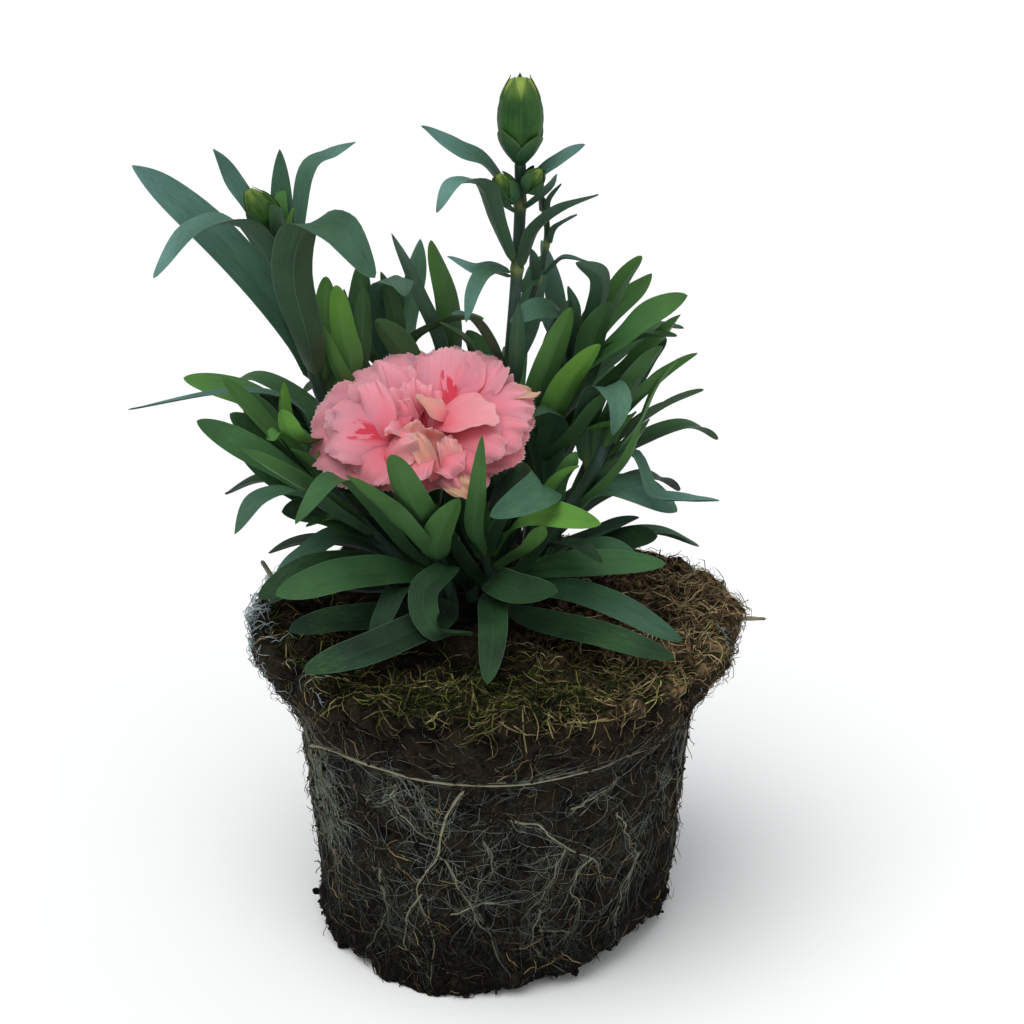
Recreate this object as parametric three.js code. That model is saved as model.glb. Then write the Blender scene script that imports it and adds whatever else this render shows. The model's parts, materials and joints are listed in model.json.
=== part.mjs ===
// A young pot carnation (Dianthus caryophyllus) lifted out of its nursery pot.
// The bare root ball stands on its flat underside. Nine stems rise from the soil and a thin
// side stem from the tallest of them. They carry strap-shaped leaves, one open double flower
// on a short stem, and a closed bud at the top.
// Units are millimetres, +Z is up, the front is -Y, and the origin is the middle of the
// root ball's flat underside.
import * as THREE from 'three';

// ---- Driving dimensions ----------------------------------------------------------------
const CLEARANCE = 0.3;          // gap between two pieces that touch on the living plant
const SOIL_TOP = 76;            // height of the soil surface at the crown
const STEM_FOOT = SOIL_TOP + CLEARANCE;
const STEM_SIDES = 8;
const STEM_STEP = 6;            // longest piece along a stem
const LEAF_THICKNESS = 0.7;
const LEAF_SEAT = 0.55;         // gap between a leaf's foot and its stem
const LEAF_STEPS = 9;           // pieces along a leaf
const LEAF_TIP_WIDTH = 1.0;
const LEAF_CHANNEL = 0.22;      // rise of a leaf's edge, as a share of its half width
const LEAF_BASE_SHARE = 0.42;   // width at the stem, as a share of the full width
const LEAF_WIDEST_AT = 0.5;     // share of the length at which a leaf is widest

// Outline of the root ball from the flat underside up to the crown: [radius, height].
const ROOT_BALL_OUTLINE = [
  [0, 0], [35, 0], [38.5, 1.6], [40.5, 5], [41.6, 20], [43.2, 38], [44.8, 54],
  [46.6, 57], [48.6, 61], [51.4, 67], [53.6, 71.5], [53.8, 73.6], [51.5, 74.8],
  [44, 75.2], [30, 75.7], [16, SOIL_TOP], [0, SOIL_TOP],
];
const ROOT_BALL_SIDES = 36;
const ROOT_BALL_WAVES = [
  { lobes: 3, depth: 0.010, phase: 0.4 },
  { lobes: 7, depth: 0.006, phase: 1.9 },
];

// The open flower: where the petals meet the calyx, and how far it nods to the front.
const FLOWER_SEAT = [-15, -5.3, 119.5];
const FLOWER_NOD = THREE.MathUtils.degToRad(20);
const CALYX_LENGTH = 23;
const FLOWER_SIDES = 30;

// The closed bud at the top of the tallest stem.
const BUD_SEAT = [6, 14, 176.8];
const BUD_SIDES = 14;

// ---- Finishes --------------------------------------------------------------------------
function finish(color, roughness) {
  return new THREE.MeshStandardMaterial({ color, roughness, metalness: 0 });
}

const SOIL = finish(0x3a2c22, 0.95);
const STEM_GREEN = finish(0x35604a, 0.6);
const LEAF_GREEN = finish(0x3d6b45, 0.55);
const BUD_GREEN = finish(0x5b8a3a, 0.55);
const PETAL_PINK = finish(0xef8f90, 0.7);

// ---- The model -------------------------------------------------------------------------
const plant = new THREE.Group();

function addPiece(name, geometry, material) {
  const piece = new THREE.Mesh(geometry, material);
  piece.name = name;
  plant.add(piece);
  return piece;
}

function toPoints(rows) {
  return rows.map(([x, y, z]) => new THREE.Vector3(x, y, z));
}

function smoothCurve(points) {
  return new THREE.CatmullRomCurve3(points, false, 'catmullrom', 0.5);
}

/** A turned solid about +Z from its outline of [radius, height] rows. */
function turned(outline, sides) {
  const profile = outline.map(([radius, height]) => new THREE.Vector2(radius, height));
  const geometry = new THREE.LatheGeometry(profile, sides);
  return geometry.rotateX(Math.PI / 2);
}

/** Moves a shape built up along +Z to a seat, with its axis along the direction given. */
function placeAlong(geometry, seat, direction) {
  const up = new THREE.Vector3(0, 0, 1);
  const turn = new THREE.Quaternion().setFromUnitVectors(up, direction.clone().normalize());
  return geometry.applyQuaternion(turn).translate(...seat);
}

// ---- Root ball -------------------------------------------------------------------------
function rootBall() {
  const geometry = turned(ROOT_BALL_OUTLINE, ROOT_BALL_SIDES);
  const position = geometry.attributes.position;
  for (let index = 0; index < position.count; index += 1) {
    const x = position.getX(index);
    const y = position.getY(index);
    const angle = Math.atan2(y, x);
    let swell = 1;
    for (const wave of ROOT_BALL_WAVES) {
      swell += wave.depth * Math.sin(wave.lobes * angle + wave.phase);
    }
    position.setXYZ(index, x * swell, y * swell, position.getZ(index));
  }
  return geometry;
}

// ---- Stems -----------------------------------------------------------------------------
// Each stem's middle line from the soil up, and its radius.
const STEMS = {
  main_stem: {
    radius: 1.3,
    line: [[0, 10, STEM_FOOT], [0, 10.5, 86], [2, 13, 112], [5, 15, 148], [6, 15, 167], [6, 14, 176.4]],
  },
  side_stem: {
    radius: 0.7,
    line: [[6.2, 16.2, 140.5], [9, 18.6, 146], [11.4, 20.5, 154], [12, 20.6, 160], [11, 20, 167]],
  },
  flower_stem: {
    radius: 1.4,
    line: [[-5, 7, STEM_FOOT], [-5.4, 7, 82], [-11, 5.6, 90], [-15, 2.9, 97.4]],
  },
  left_shoot: {
    radius: 1.4,
    line: [
      [-13, 8, STEM_FOOT], [-13.6, 8.2, 82], [-25, 10, 102], [-33, 10, 114], [-38, 9, 124],
      [-41, 7.6, 136], [-43, 6.4, 148], [-45, 5.6, 158], [-45.6, 5.2, 163],
    ],
  },
  left_low_shoot: {
    radius: 1.2,
    line: [[-14, 1, STEM_FOOT], [-15, 1, 81], [-25, -4, 95], [-33, -6, 105], [-38, -7, 113]],
  },
  front_left_shoot: {
    radius: 1.2,
    line: [[-9, -4, STEM_FOOT], [-9.2, -4.4, 81], [-11, -8, 90], [-12, -10, 96]],
  },
  front_shoot: {
    radius: 1.2,
    line: [[1, -3, STEM_FOOT], [0.8, -3.4, 81], [-1, -7, 90], [-2, -9, 97]],
  },
  right_shoot: {
    radius: 1.3,
    line: [[8, 5, STEM_FOOT], [8.5, 5, 82], [15, 5, 96], [22, 5, 108], [26, 5, 117]],
  },
  back_right_shoot: {
    radius: 1.3,
    line: [[7, 15, STEM_FOOT], [7.5, 15.2, 84], [12, 17, 110], [17, 19, 126], [20, 20, 135]],
  },
  back_left_shoot: {
    radius: 1.3,
    line: [[-8, 16, STEM_FOOT], [-8.6, 16.4, 84], [-16, 20, 108], [-20, 22, 126]],
  },
};

for (const stem of Object.values(STEMS)) {
  stem.curve = smoothCurve(toPoints(stem.line));
}

function stemGeometry(stem) {
  const section = new THREE.Shape();
  section.absarc(0, 0, stem.radius, 0, 2 * Math.PI);
  const steps = Math.ceil(stem.curve.getLength() / STEM_STEP);
  return new THREE.ExtrudeGeometry(section, {
    steps,
    curveSegments: STEM_SIDES,
    extrudePath: stem.curve,
  });
}

/** The point and heading of a stem's middle line at a height; every stem rises all the way. */
function stemPoint(stem, height) {
  let low = 0;
  let high = 1;
  for (let halving = 0; halving < 24; halving += 1) {
    const middle = (low + high) / 2;
    if (stem.curve.getPoint(middle).z < height) {
      low = middle;
    } else {
      high = middle;
    }
  }
  return { centre: stem.curve.getPoint(low), heading: stem.curve.getTangent(low) };
}

// ---- Leaves ----------------------------------------------------------------------------
/** Half the width of a leaf at a share of its length: narrow foot, full middle, blunt tip. */
function leafHalfWidth(share, width) {
  let fullness;
  if (share < LEAF_WIDEST_AT) {
    const rise = Math.sin((Math.PI / 2) * (share / LEAF_WIDEST_AT));
    fullness = LEAF_BASE_SHARE + (1 - LEAF_BASE_SHARE) * rise;
  } else {
    const fall = (share - LEAF_WIDEST_AT) / (1 - LEAF_WIDEST_AT);
    fullness = Math.sqrt(1 - fall ** 2.4);
  }
  return Math.max(fullness * width, LEAF_TIP_WIDTH) / 2;
}

/**
 * One leaf, as a bent strip with a shallow channel along its upper side.
 * `through` runs from the first bend to the tip; the foot is set beside the stem.
 * `out` is the compass angle in degrees at which the leaf leaves the stem, and sets which
 * way its upper side looks; `twist` is how far its right-hand edge is lifted, in degrees, at
 * the foot and at the tip.
 */
function leafGeometry({ stem, at, width, through, out, twist = [0, 0] }) {
  const bends = toPoints(through);
  const { centre, heading } = stemPoint(STEMS[stem], at);
  const away = bends[0].clone().sub(centre);
  away.addScaledVector(heading, -away.dot(heading)).normalize();
  const standOff = STEMS[stem].radius + LEAF_SEAT + LEAF_THICKNESS / 2;
  const foot = centre.clone().addScaledVector(away, standOff);
  const spine = smoothCurve([foot, ...bends]);

  const tip = bends[bends.length - 1];
  const compass = out === undefined
    ? Math.atan2(tip.y - foot.y, tip.x - foot.x)
    : THREE.MathUtils.degToRad(out);
  const across = new THREE.Vector3(Math.sin(compass), -Math.cos(compass), 0);

  const geometry = new THREE.BoxGeometry(1, 1, 1, 2, LEAF_STEPS, 1);
  const position = geometry.attributes.position;
  for (let index = 0; index < position.count; index += 1) {
    const share = position.getY(index) + 0.5;
    const sideways = position.getX(index) * 2;
    const layer = position.getZ(index);
    const along = spine.getTangent(share);
    const side = across.clone().addScaledVector(along, -across.dot(along)).normalize();
    const degrees = twist[0] + (twist[1] - twist[0]) * share;
    side.applyAxisAngle(along, -THREE.MathUtils.degToRad(degrees));
    const upper = side.clone().cross(along);
    const half = leafHalfWidth(share, width);
    const lift = LEAF_CHANNEL * half * Math.abs(sideways) + layer * LEAF_THICKNESS;
    const point = spine.getPoint(share)
      .addScaledVector(side, sideways * half)
      .addScaledVector(upper, lift);
    position.setXYZ(index, point.x, point.y, point.z);
  }
  return geometry;
}

// The leaves in the order in which they are numbered on each stem. `at` is the height on
// the stem, and the last point of `through` is the leaf's tip.
const LEAVES = [
  // Tall left shoot: long glaucous leaves, three of them arching over.
  { stem: 'left_shoot', at: 128, width: 8.8, out: 130,
    through: [[-45, 10.5, 140], [-58, 7, 160], [-71, 1, 175], [-76, -4, 180]] },
  { stem: 'left_shoot', at: 130, width: 9.0, out: -90,
    through: [[-40, -4, 143], [-41.5, -10, 158], [-38, -16, 171], [-29, -25, 171.5], [-24, -30, 164]] },
  { stem: 'left_shoot', at: 146, width: 8.4, out: -120,
    through: [[-48, -2, 160], [-54, -7, 169], [-62, -15, 169.5], [-70, -23, 162]] },
  { stem: 'left_shoot', at: 158, width: 4.4, out: 90, through: [[-45.5, 9.4, 168], [-46, 10, 181]] },
  { stem: 'left_shoot', at: 155, width: 5.6, out: 140,
    through: [[-50, 8, 164], [-56, 9, 173], [-60, 6, 182]] },
  { stem: 'left_shoot', at: 152, width: 4.8, out: 60,
    through: [[-42, 13, 166], [-40, 16, 175], [-35, 18, 177.5], [-30, 20, 180]] },

  // Low left shoot: spreading leaves left of the flower.
  { stem: 'left_low_shoot', at: 112, width: 3.4,
    through: [[-43, 3, 124], [-56, 0, 129], [-79, -10, 128.5]] },
  { stem: 'left_low_shoot', at: 111, width: 7.2, twist: [0, 40],
    through: [[-45, -6, 117], [-52, -9, 127], [-58, -11, 136]] },
  { stem: 'left_low_shoot', at: 107, width: 6.0, twist: [0, 40],
    through: [[-43, -13, 113], [-52, -16, 121], [-63, -18, 129]] },
  { stem: 'left_low_shoot', at: 101, width: 6.8, out: -110,
    through: [[-35, -17, 109], [-44, -23, 118], [-53, -27, 126]] },
  { stem: 'left_low_shoot', at: 98, width: 8.0, twist: [20, 40],
    through: [[-37, -1, 102], [-49, -2, 110], [-58, -3, 120]] },
  { stem: 'left_low_shoot', at: 97, width: 6.4, out: -110,
    through: [[-34, -20, 108], [-41, -28, 116], [-49, -35, 117], [-54, -38, 111]] },
  { stem: 'left_low_shoot', at: 91, width: 5.6, twist: [20, 40],
    through: [[-34, -2, 95.5], [-42, -6, 92.5], [-48, -9, 90]] },

  // Front left shoot: broad leaves towards the front and the left.
  { stem: 'front_left_shoot', at: 90, width: 7.2, out: -130,
    through: [[-20, -12, 97], [-27, -22, 111], [-33, -31, 120], [-41, -40, 114]] },
  { stem: 'front_left_shoot', at: 93, width: 6.4, out: -110,
    through: [[-16, -26, 104], [-22, -32, 114], [-30, -40, 125]] },
  { stem: 'front_left_shoot', at: 85, width: 8.6, twist: [20, 35],
    through: [[-26, -8, 90], [-40, -14, 92], [-51, -20, 88]] },
  { stem: 'front_left_shoot', at: 88, width: 8.4, twist: [20, 50],
    through: [[-22, -20, 94], [-34, -29, 97], [-46, -35, 96]] },
  { stem: 'front_left_shoot', at: 80, width: 7.6, twist: [20, 30],
    through: [[-22, -16, 82], [-35, -23, 84], [-44, -28, 84]] },
  { stem: 'front_left_shoot', at: 82, width: 8.0, twist: [20, 45],
    through: [[-13, -25, 85], [-26, -36, 83], [-40, -43, 82]] },
  { stem: 'front_left_shoot', at: 95, width: 7.4, out: -90,
    through: [[-13, -21, 104], [-17, -33, 117], [-21, -39, 129]] },

  // Front shoot: leaves fan out to the front and the right.
  { stem: 'front_shoot', at: 88, width: 7.6, twist: [-30, -50],
    through: [[1, -20, 92], [7, -27, 93], [14, -32, 95]] },
  { stem: 'front_shoot', at: 84, width: 6.6,
    through: [[0, -20, 87], [0, -34, 86], [-1, -46, 80]] },
  { stem: 'front_shoot', at: 79.5, width: 6.8, twist: [-20, -40],
    through: [[10, -14, 80], [24, -27, 82], [39, -37, 82]] },
  { stem: 'front_shoot', at: 83, width: 6.2, twist: [-20, -40],
    through: [[12, -10, 86], [26, -20, 87], [41, -30, 83]] },
  { stem: 'front_shoot', at: 86, width: 6.2, twist: [-30, -50],
    through: [[12, -7, 90], [24, -10, 92], [38, -14, 94]] },
  { stem: 'front_shoot', at: 90, width: 6.2, out: -60,
    through: [[5, -13, 95], [9, -21, 101], [10, -28, 108.5]] },
  { stem: 'front_shoot', at: 93, width: 6.4, twist: [0, -50],
    through: [[4, -12, 101], [10, -21, 108], [23, -33, 111]] },
  { stem: 'front_shoot', at: 95, width: 3.8, out: -90,
    through: [[-4, -22, 105], [-3, -31, 117], [-2, -38, 133]] },
  { stem: 'front_shoot', at: 96, width: 7.4, out: -120,
    through: [[1, -5, 106], [6, -12, 114], [7, -24, 117], [1, -33, 115]] },

  // Right shoot: thin leaves out to the right.
  { stem: 'right_shoot', at: 100, width: 3.6, out: -60,
    through: [[21, -6, 106], [28, -12, 116], [32, -15, 127]] },
  { stem: 'right_shoot', at: 114, width: 7.6, out: 60,
    through: [[29, 13, 122], [34, 18, 130], [39, 20, 135]] },
  { stem: 'right_shoot', at: 111, width: 5.2, out: -20,
    through: [[31, 1, 114], [35, -8, 108], [42, -14, 109], [49, -19, 111]] },
  { stem: 'right_shoot', at: 96, width: 8.0, twist: [-10, -40],
    through: [[23, 4, 103], [32, 1, 105], [41, -5, 103]] },

  // Back right shoot.
  { stem: 'back_right_shoot', at: 130, width: 4.6, out: 60,
    through: [[26, 27, 138], [31, 29, 143], [36, 30, 147]] },
  { stem: 'back_right_shoot', at: 126, width: 6.6, out: 0, twist: [0, -40],
    through: [[26, 13, 134], [34, 11, 142], [43, 9, 148]] },
  { stem: 'back_right_shoot', at: 133, width: 5.6, out: -60,
    through: [[23, 16, 142], [24, 13, 151], [18, 8, 156]] },

  // Tallest stem: narrow glaucous leaves in pairs below the bud.
  { stem: 'main_stem', at: 169, width: 3.8, twist: [20, 40],
    through: [[-3, 12, 178], [-10, 10, 181], [-15, 8, 187]] },
  { stem: 'main_stem', at: 154, width: 4.2, out: -120,
    through: [[1, 9, 164], [-2, 5, 174], [-8, -1, 176], [-12, -5, 171]] },
  { stem: 'main_stem', at: 153, width: 3.6, out: -60,
    through: [[9, 11, 162], [15, 8, 168], [23, 6, 172]] },
  { stem: 'main_stem', at: 151, width: 2.6,
    through: [[-1, 8, 154], [-4, 4, 151], [-6, 0, 145]] },
];

// ---- The open flower -------------------------------------------------------------------
const FLOWER_AXIS = new THREE.Vector3(0, -Math.sin(FLOWER_NOD), Math.cos(FLOWER_NOD));

/** Adds a turned piece of the flower; its outline's heights start at the petals' seat. */
function addFlowerPiece(name, outline, material) {
  const geometry = turned(outline, FLOWER_SIDES);
  addPiece(name, placeAlong(geometry, FLOWER_SEAT, FLOWER_AXIS), material);
}

function addFlower() {
  addFlowerPiece('flower_calyx', [
    [0, -CALYX_LENGTH], [2.2, -CALYX_LENGTH + 0.6], [3.2, -CALYX_LENGTH + 4], [4.0, -12],
    [3.9, -4], [3.5, 0], [0, 0],
  ], BUD_GREEN);
  addFlowerPiece('outer_petals', [
    [0, 0.3], [3.5, 0.8], [10, 4.6], [18, 6.4], [25, 5.0], [24.6, 6.0], [18, 7.6],
    [10, 6.2], [4, 3.0], [0, 2.4],
  ], PETAL_PINK);
  addFlowerPiece('middle_petals', [
    [0, 2.8], [4, 3.5], [9, 8.4], [15, 12.4], [20, 12.2], [19.6, 13.4], [15, 13.8],
    [8.4, 10.2], [4, 6.0], [0, 5.0],
  ], PETAL_PINK);
  addFlowerPiece('inner_petals', [
    [0, 5.4], [3.4, 6.4], [7, 10.4], [11, 14.6], [13, 17], [11.4, 18.4], [6, 19], [0, 18.2],
  ], PETAL_PINK);
}

// ---- Buds ------------------------------------------------------------------------------
const MAIN_BUD_OUTLINE = [
  [0, 0], [2.0, 0.3], [3.4, 2.6], [4.2, 6.4], [4.9, 11], [4.6, 14.4], [3.2, 17.4], [1.2, 19.4],
  [0, 19.6],
];
// Four short scales that hug the foot of the bud, as one closed cup.
const SCALE_CUP_OUTLINE = [
  [2.7, 0.5], [3.9, 0.6], [4.9, 3.8], [5.3, 8.0], [4.9, 8.1], [4.5, 5.8], [3.9, 2.8], [2.7, 0.5],
];

// The small buds, each on its own short stalk: the foot beside the stem, the way it points,
// its length and its radius at the widest.
const SMALL_BUD_STALK = 0.6;
const SMALL_BUDS = {
  left_side_bud: { foot: [5.0, 12.4, 168.5], heading: [-3, -3.4, 7], length: 9, radius: 2.4 },
  right_side_bud: { foot: [6.8, 12.2, 171], heading: [3.4, -5, 6.4], length: 9, radius: 2.0 },
  left_shoot_bud: { foot: [-46.2, 3.6, 163.5], heading: [-5, -4.4, 7.4], length: 12, radius: 3.4 },
};

function smallBudGeometry({ foot, heading, length, radius }) {
  const outline = [
    [0, 0], [SMALL_BUD_STALK, 0], [SMALL_BUD_STALK, length * 0.25], [radius * 0.8, length * 0.42],
    [radius, length * 0.6], [radius * 0.7, length * 0.84], [0.4, length], [0, length],
  ];
  return placeAlong(turned(outline, BUD_SIDES), foot, new THREE.Vector3(...heading));
}

function addBuds() {
  addPiece('main_bud', turned(MAIN_BUD_OUTLINE, BUD_SIDES).translate(...BUD_SEAT), BUD_GREEN);
  addPiece('bud_scales', turned(SCALE_CUP_OUTLINE, BUD_SIDES).translate(...BUD_SEAT), BUD_GREEN);
  for (const [name, bud] of Object.entries(SMALL_BUDS)) {
    addPiece(name, smallBudGeometry(bud), BUD_GREEN);
  }
}

// ---- Assembly --------------------------------------------------------------------------
addPiece('root_ball', rootBall(), SOIL);
for (const [name, stem] of Object.entries(STEMS)) {
  addPiece(name, stemGeometry(stem), STEM_GREEN);
}
const leavesOnStem = {};
for (const leaf of LEAVES) {
  const number = (leavesOnStem[leaf.stem] ?? 0) + 1;
  leavesOnStem[leaf.stem] = number;
  addPiece(`${leaf.stem}_leaf_${number}`, leafGeometry(leaf), LEAF_GREEN);
}
addFlower();
addBuds();

export default plant;
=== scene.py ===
"""The looks of a young pot carnation that stands on its bare root ball.

Lengths are millimetres, as in the part's source, until a finished mesh is scaled to metres.
+Z is up and -Y is the front. Angles are degrees, counter-clockwise from +X seen from above.
"""

import json
import logging
import math
from dataclasses import dataclass, field
from enum import Enum
from typing import Sequence

import bmesh
import bpy
import numpy as np
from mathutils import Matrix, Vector, noise

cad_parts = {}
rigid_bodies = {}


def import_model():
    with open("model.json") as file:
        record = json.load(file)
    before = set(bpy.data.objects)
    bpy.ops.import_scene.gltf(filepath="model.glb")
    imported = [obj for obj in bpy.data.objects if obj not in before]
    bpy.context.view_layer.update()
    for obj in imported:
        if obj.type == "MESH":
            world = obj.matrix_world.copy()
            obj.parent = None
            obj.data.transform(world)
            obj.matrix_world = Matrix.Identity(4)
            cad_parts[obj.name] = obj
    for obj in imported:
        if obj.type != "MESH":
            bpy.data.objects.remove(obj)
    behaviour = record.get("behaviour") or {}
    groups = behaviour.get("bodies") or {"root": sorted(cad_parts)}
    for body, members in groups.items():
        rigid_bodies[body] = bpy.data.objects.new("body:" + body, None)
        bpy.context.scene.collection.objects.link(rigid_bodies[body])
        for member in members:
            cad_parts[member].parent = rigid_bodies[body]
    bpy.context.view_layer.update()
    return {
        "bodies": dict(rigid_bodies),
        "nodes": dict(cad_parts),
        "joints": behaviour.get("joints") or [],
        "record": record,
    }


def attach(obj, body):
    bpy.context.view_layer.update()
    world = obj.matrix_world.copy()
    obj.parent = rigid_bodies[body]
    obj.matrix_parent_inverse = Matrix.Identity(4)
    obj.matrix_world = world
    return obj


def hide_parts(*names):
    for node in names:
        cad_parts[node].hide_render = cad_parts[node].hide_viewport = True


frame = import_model()

LOG = logging.getLogger("dianthus")
METRES = 0.001
LOWEST = 0.02
HALVINGS = 24
UV_NAME = "Skin"
Colour = tuple[float, float, float]
Row = tuple[float, float, float]


# ---- Curves and small maths ------------------------------------------------------------
def unit(vectors: np.ndarray) -> np.ndarray:
    """The same directions with length 1, along the last axis."""
    return vectors / np.maximum(np.linalg.norm(vectors, axis=-1, keepdims=True), 1e-9)


def ease(low: float, high: float, values: np.ndarray) -> np.ndarray:
    """A smooth step from 0 at low to 1 at high, which may be the smaller of the two."""
    share = np.clip((values - low) / (high - low), 0, 1)
    return share * share * (3 - 2 * share)


class Spine:
    """A smooth line through a few points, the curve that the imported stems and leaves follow."""

    def __init__(self, points: Sequence[Sequence[float]]) -> None:
        """Keeps the points and a ghost point past each end.

        Args:
            points: at least two points, in mm.
        """
        inner = np.array(points, float)
        self.points = np.vstack([2 * inner[0] - inner[1], inner, 2 * inner[-1] - inner[-2]])
        self.pieces = len(inner) - 1

    def _cubic(self, share: np.ndarray) -> tuple[tuple[np.ndarray, ...], np.ndarray]:
        """The factors of the cubic that each share lies on, and the share within its piece."""
        along = np.clip(share, 0, 1) * self.pieces
        index = np.minimum(along.astype(int), self.pieces - 1)
        before, start, end, after = (self.points[index + step] for step in range(4))
        leave, arrive = (end - before) / 2, (after - start) / 2
        bend = 2 * start - 2 * end + leave + arrive
        turn = -3 * start + 3 * end - 2 * leave - arrive
        return (bend, turn, leave, start), (along - index)[:, None]

    def at(self, share: np.ndarray) -> np.ndarray:
        """The places at shares of the line, one row each."""
        (bend, turn, leave, start), t = self._cubic(share)
        return ((bend * t + turn) * t + leave) * t + start

    def heading(self, share: np.ndarray) -> np.ndarray:
        """The unit directions at shares of the line, one row each."""
        (bend, turn, leave, _), t = self._cubic(share)
        return unit((3 * bend * t + 2 * turn) * t + leave)


def turned_about(vectors: np.ndarray, axes: np.ndarray, degrees: np.ndarray) -> np.ndarray:
    """Vectors turned about unit axes that they are square to.

    Args:
        vectors: one row each.
        axes: the unit axis of each row.
        degrees: how far each row turns.

    Returns:
        The turned rows.
    """
    angle = np.radians(degrees)[:, None]
    return vectors * np.cos(angle) + np.cross(axes, vectors) * np.sin(angle)


# ---- Meshes and pieces -----------------------------------------------------------------
def mesh_of(bm: bmesh.types.BMesh) -> bpy.types.Mesh:
    """Turns a bmesh into a mesh and frees it."""
    mesh = bpy.data.meshes.new("shape")
    bm.to_mesh(mesh)
    bm.free()
    return mesh


def repeat(bm: bmesh.types.BMesh, count: int) -> None:
    """Duplicates what a bmesh holds until it is there count times."""
    kinds = (bm.verts, bm.edges, bm.faces)
    sizes = [len(kind) for kind in kinds]
    made = 1
    while made < count:
        batch = min(made, count - made)
        geometry = [part for kind, size in zip(kinds, sizes) for part in kind[:batch * size]]
        bmesh.ops.duplicate(bm, geom=geometry)
        made += batch


def shape(
    mesh: bpy.types.Mesh, places: np.ndarray, marks: dict[str, np.ndarray],
    lowest: float = LOWEST,
) -> bpy.types.Mesh:
    """Moves a mesh's vertices, makes it smooth and keeps marks on it.

    Args:
        mesh: the mesh.
        places: the places in mm, as vertices by 3, or as copies by vertices by 3.
        marks: values for each named attribute, for every vertex or every copy.
        lowest: the height that nothing goes below, in mm.

    Returns:
        The same mesh, in metres.
    """
    places[..., 2] = np.maximum(places[..., 2], lowest)
    mesh.vertices.foreach_set("co", (places * METRES).astype(np.float32).ravel())
    mesh.polygons.foreach_set("use_smooth", np.ones(len(mesh.polygons), bool))
    for mark, values in marks.items():
        if values.ndim < places.ndim - 1:
            values = values[:, None]
        spread = np.broadcast_to(values, places.shape[:-1])
        attribute = mesh.attributes.new(mark, "FLOAT", "POINT")
        attribute.data.foreach_set("value", spread.astype(np.float32).ravel())
    mesh.update()
    return mesh


def finish_piece(
    name: str,
    mesh: bpy.types.Mesh,
    materials: Sequence[bpy.types.Material],
    nodes: Sequence[str] = (),
) -> None:
    """Makes a piece of a finished mesh and ties it to the plant.

    Args:
        name: the piece's name.
        mesh: its mesh, in metres.
        materials: its materials, in the order of the mesh's slots.
        nodes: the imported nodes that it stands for.
    """
    mesh.name = name
    piece = bpy.data.objects.new(name, mesh)
    bpy.context.scene.collection.objects.link(piece)
    for material in materials:
        mesh.materials.append(material)
    if len(materials) == 1:
        mesh.polygons.foreach_set("material_index", np.zeros(len(mesh.polygons), np.int32))
    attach(piece, "root")
    if nodes:
        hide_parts(*nodes)
    triangles = sum(len(face.vertices) - 2 for face in mesh.polygons)
    LOG.info("%s: %d triangles", name, triangles)


# ---- Bent copies of closed tubes -------------------------------------------------------
class Tip(Enum):
    """How a tube closes at its far end."""

    POINT = "a single point"
    EDGE = "a flat edge, as a petal's margin has"


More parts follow.
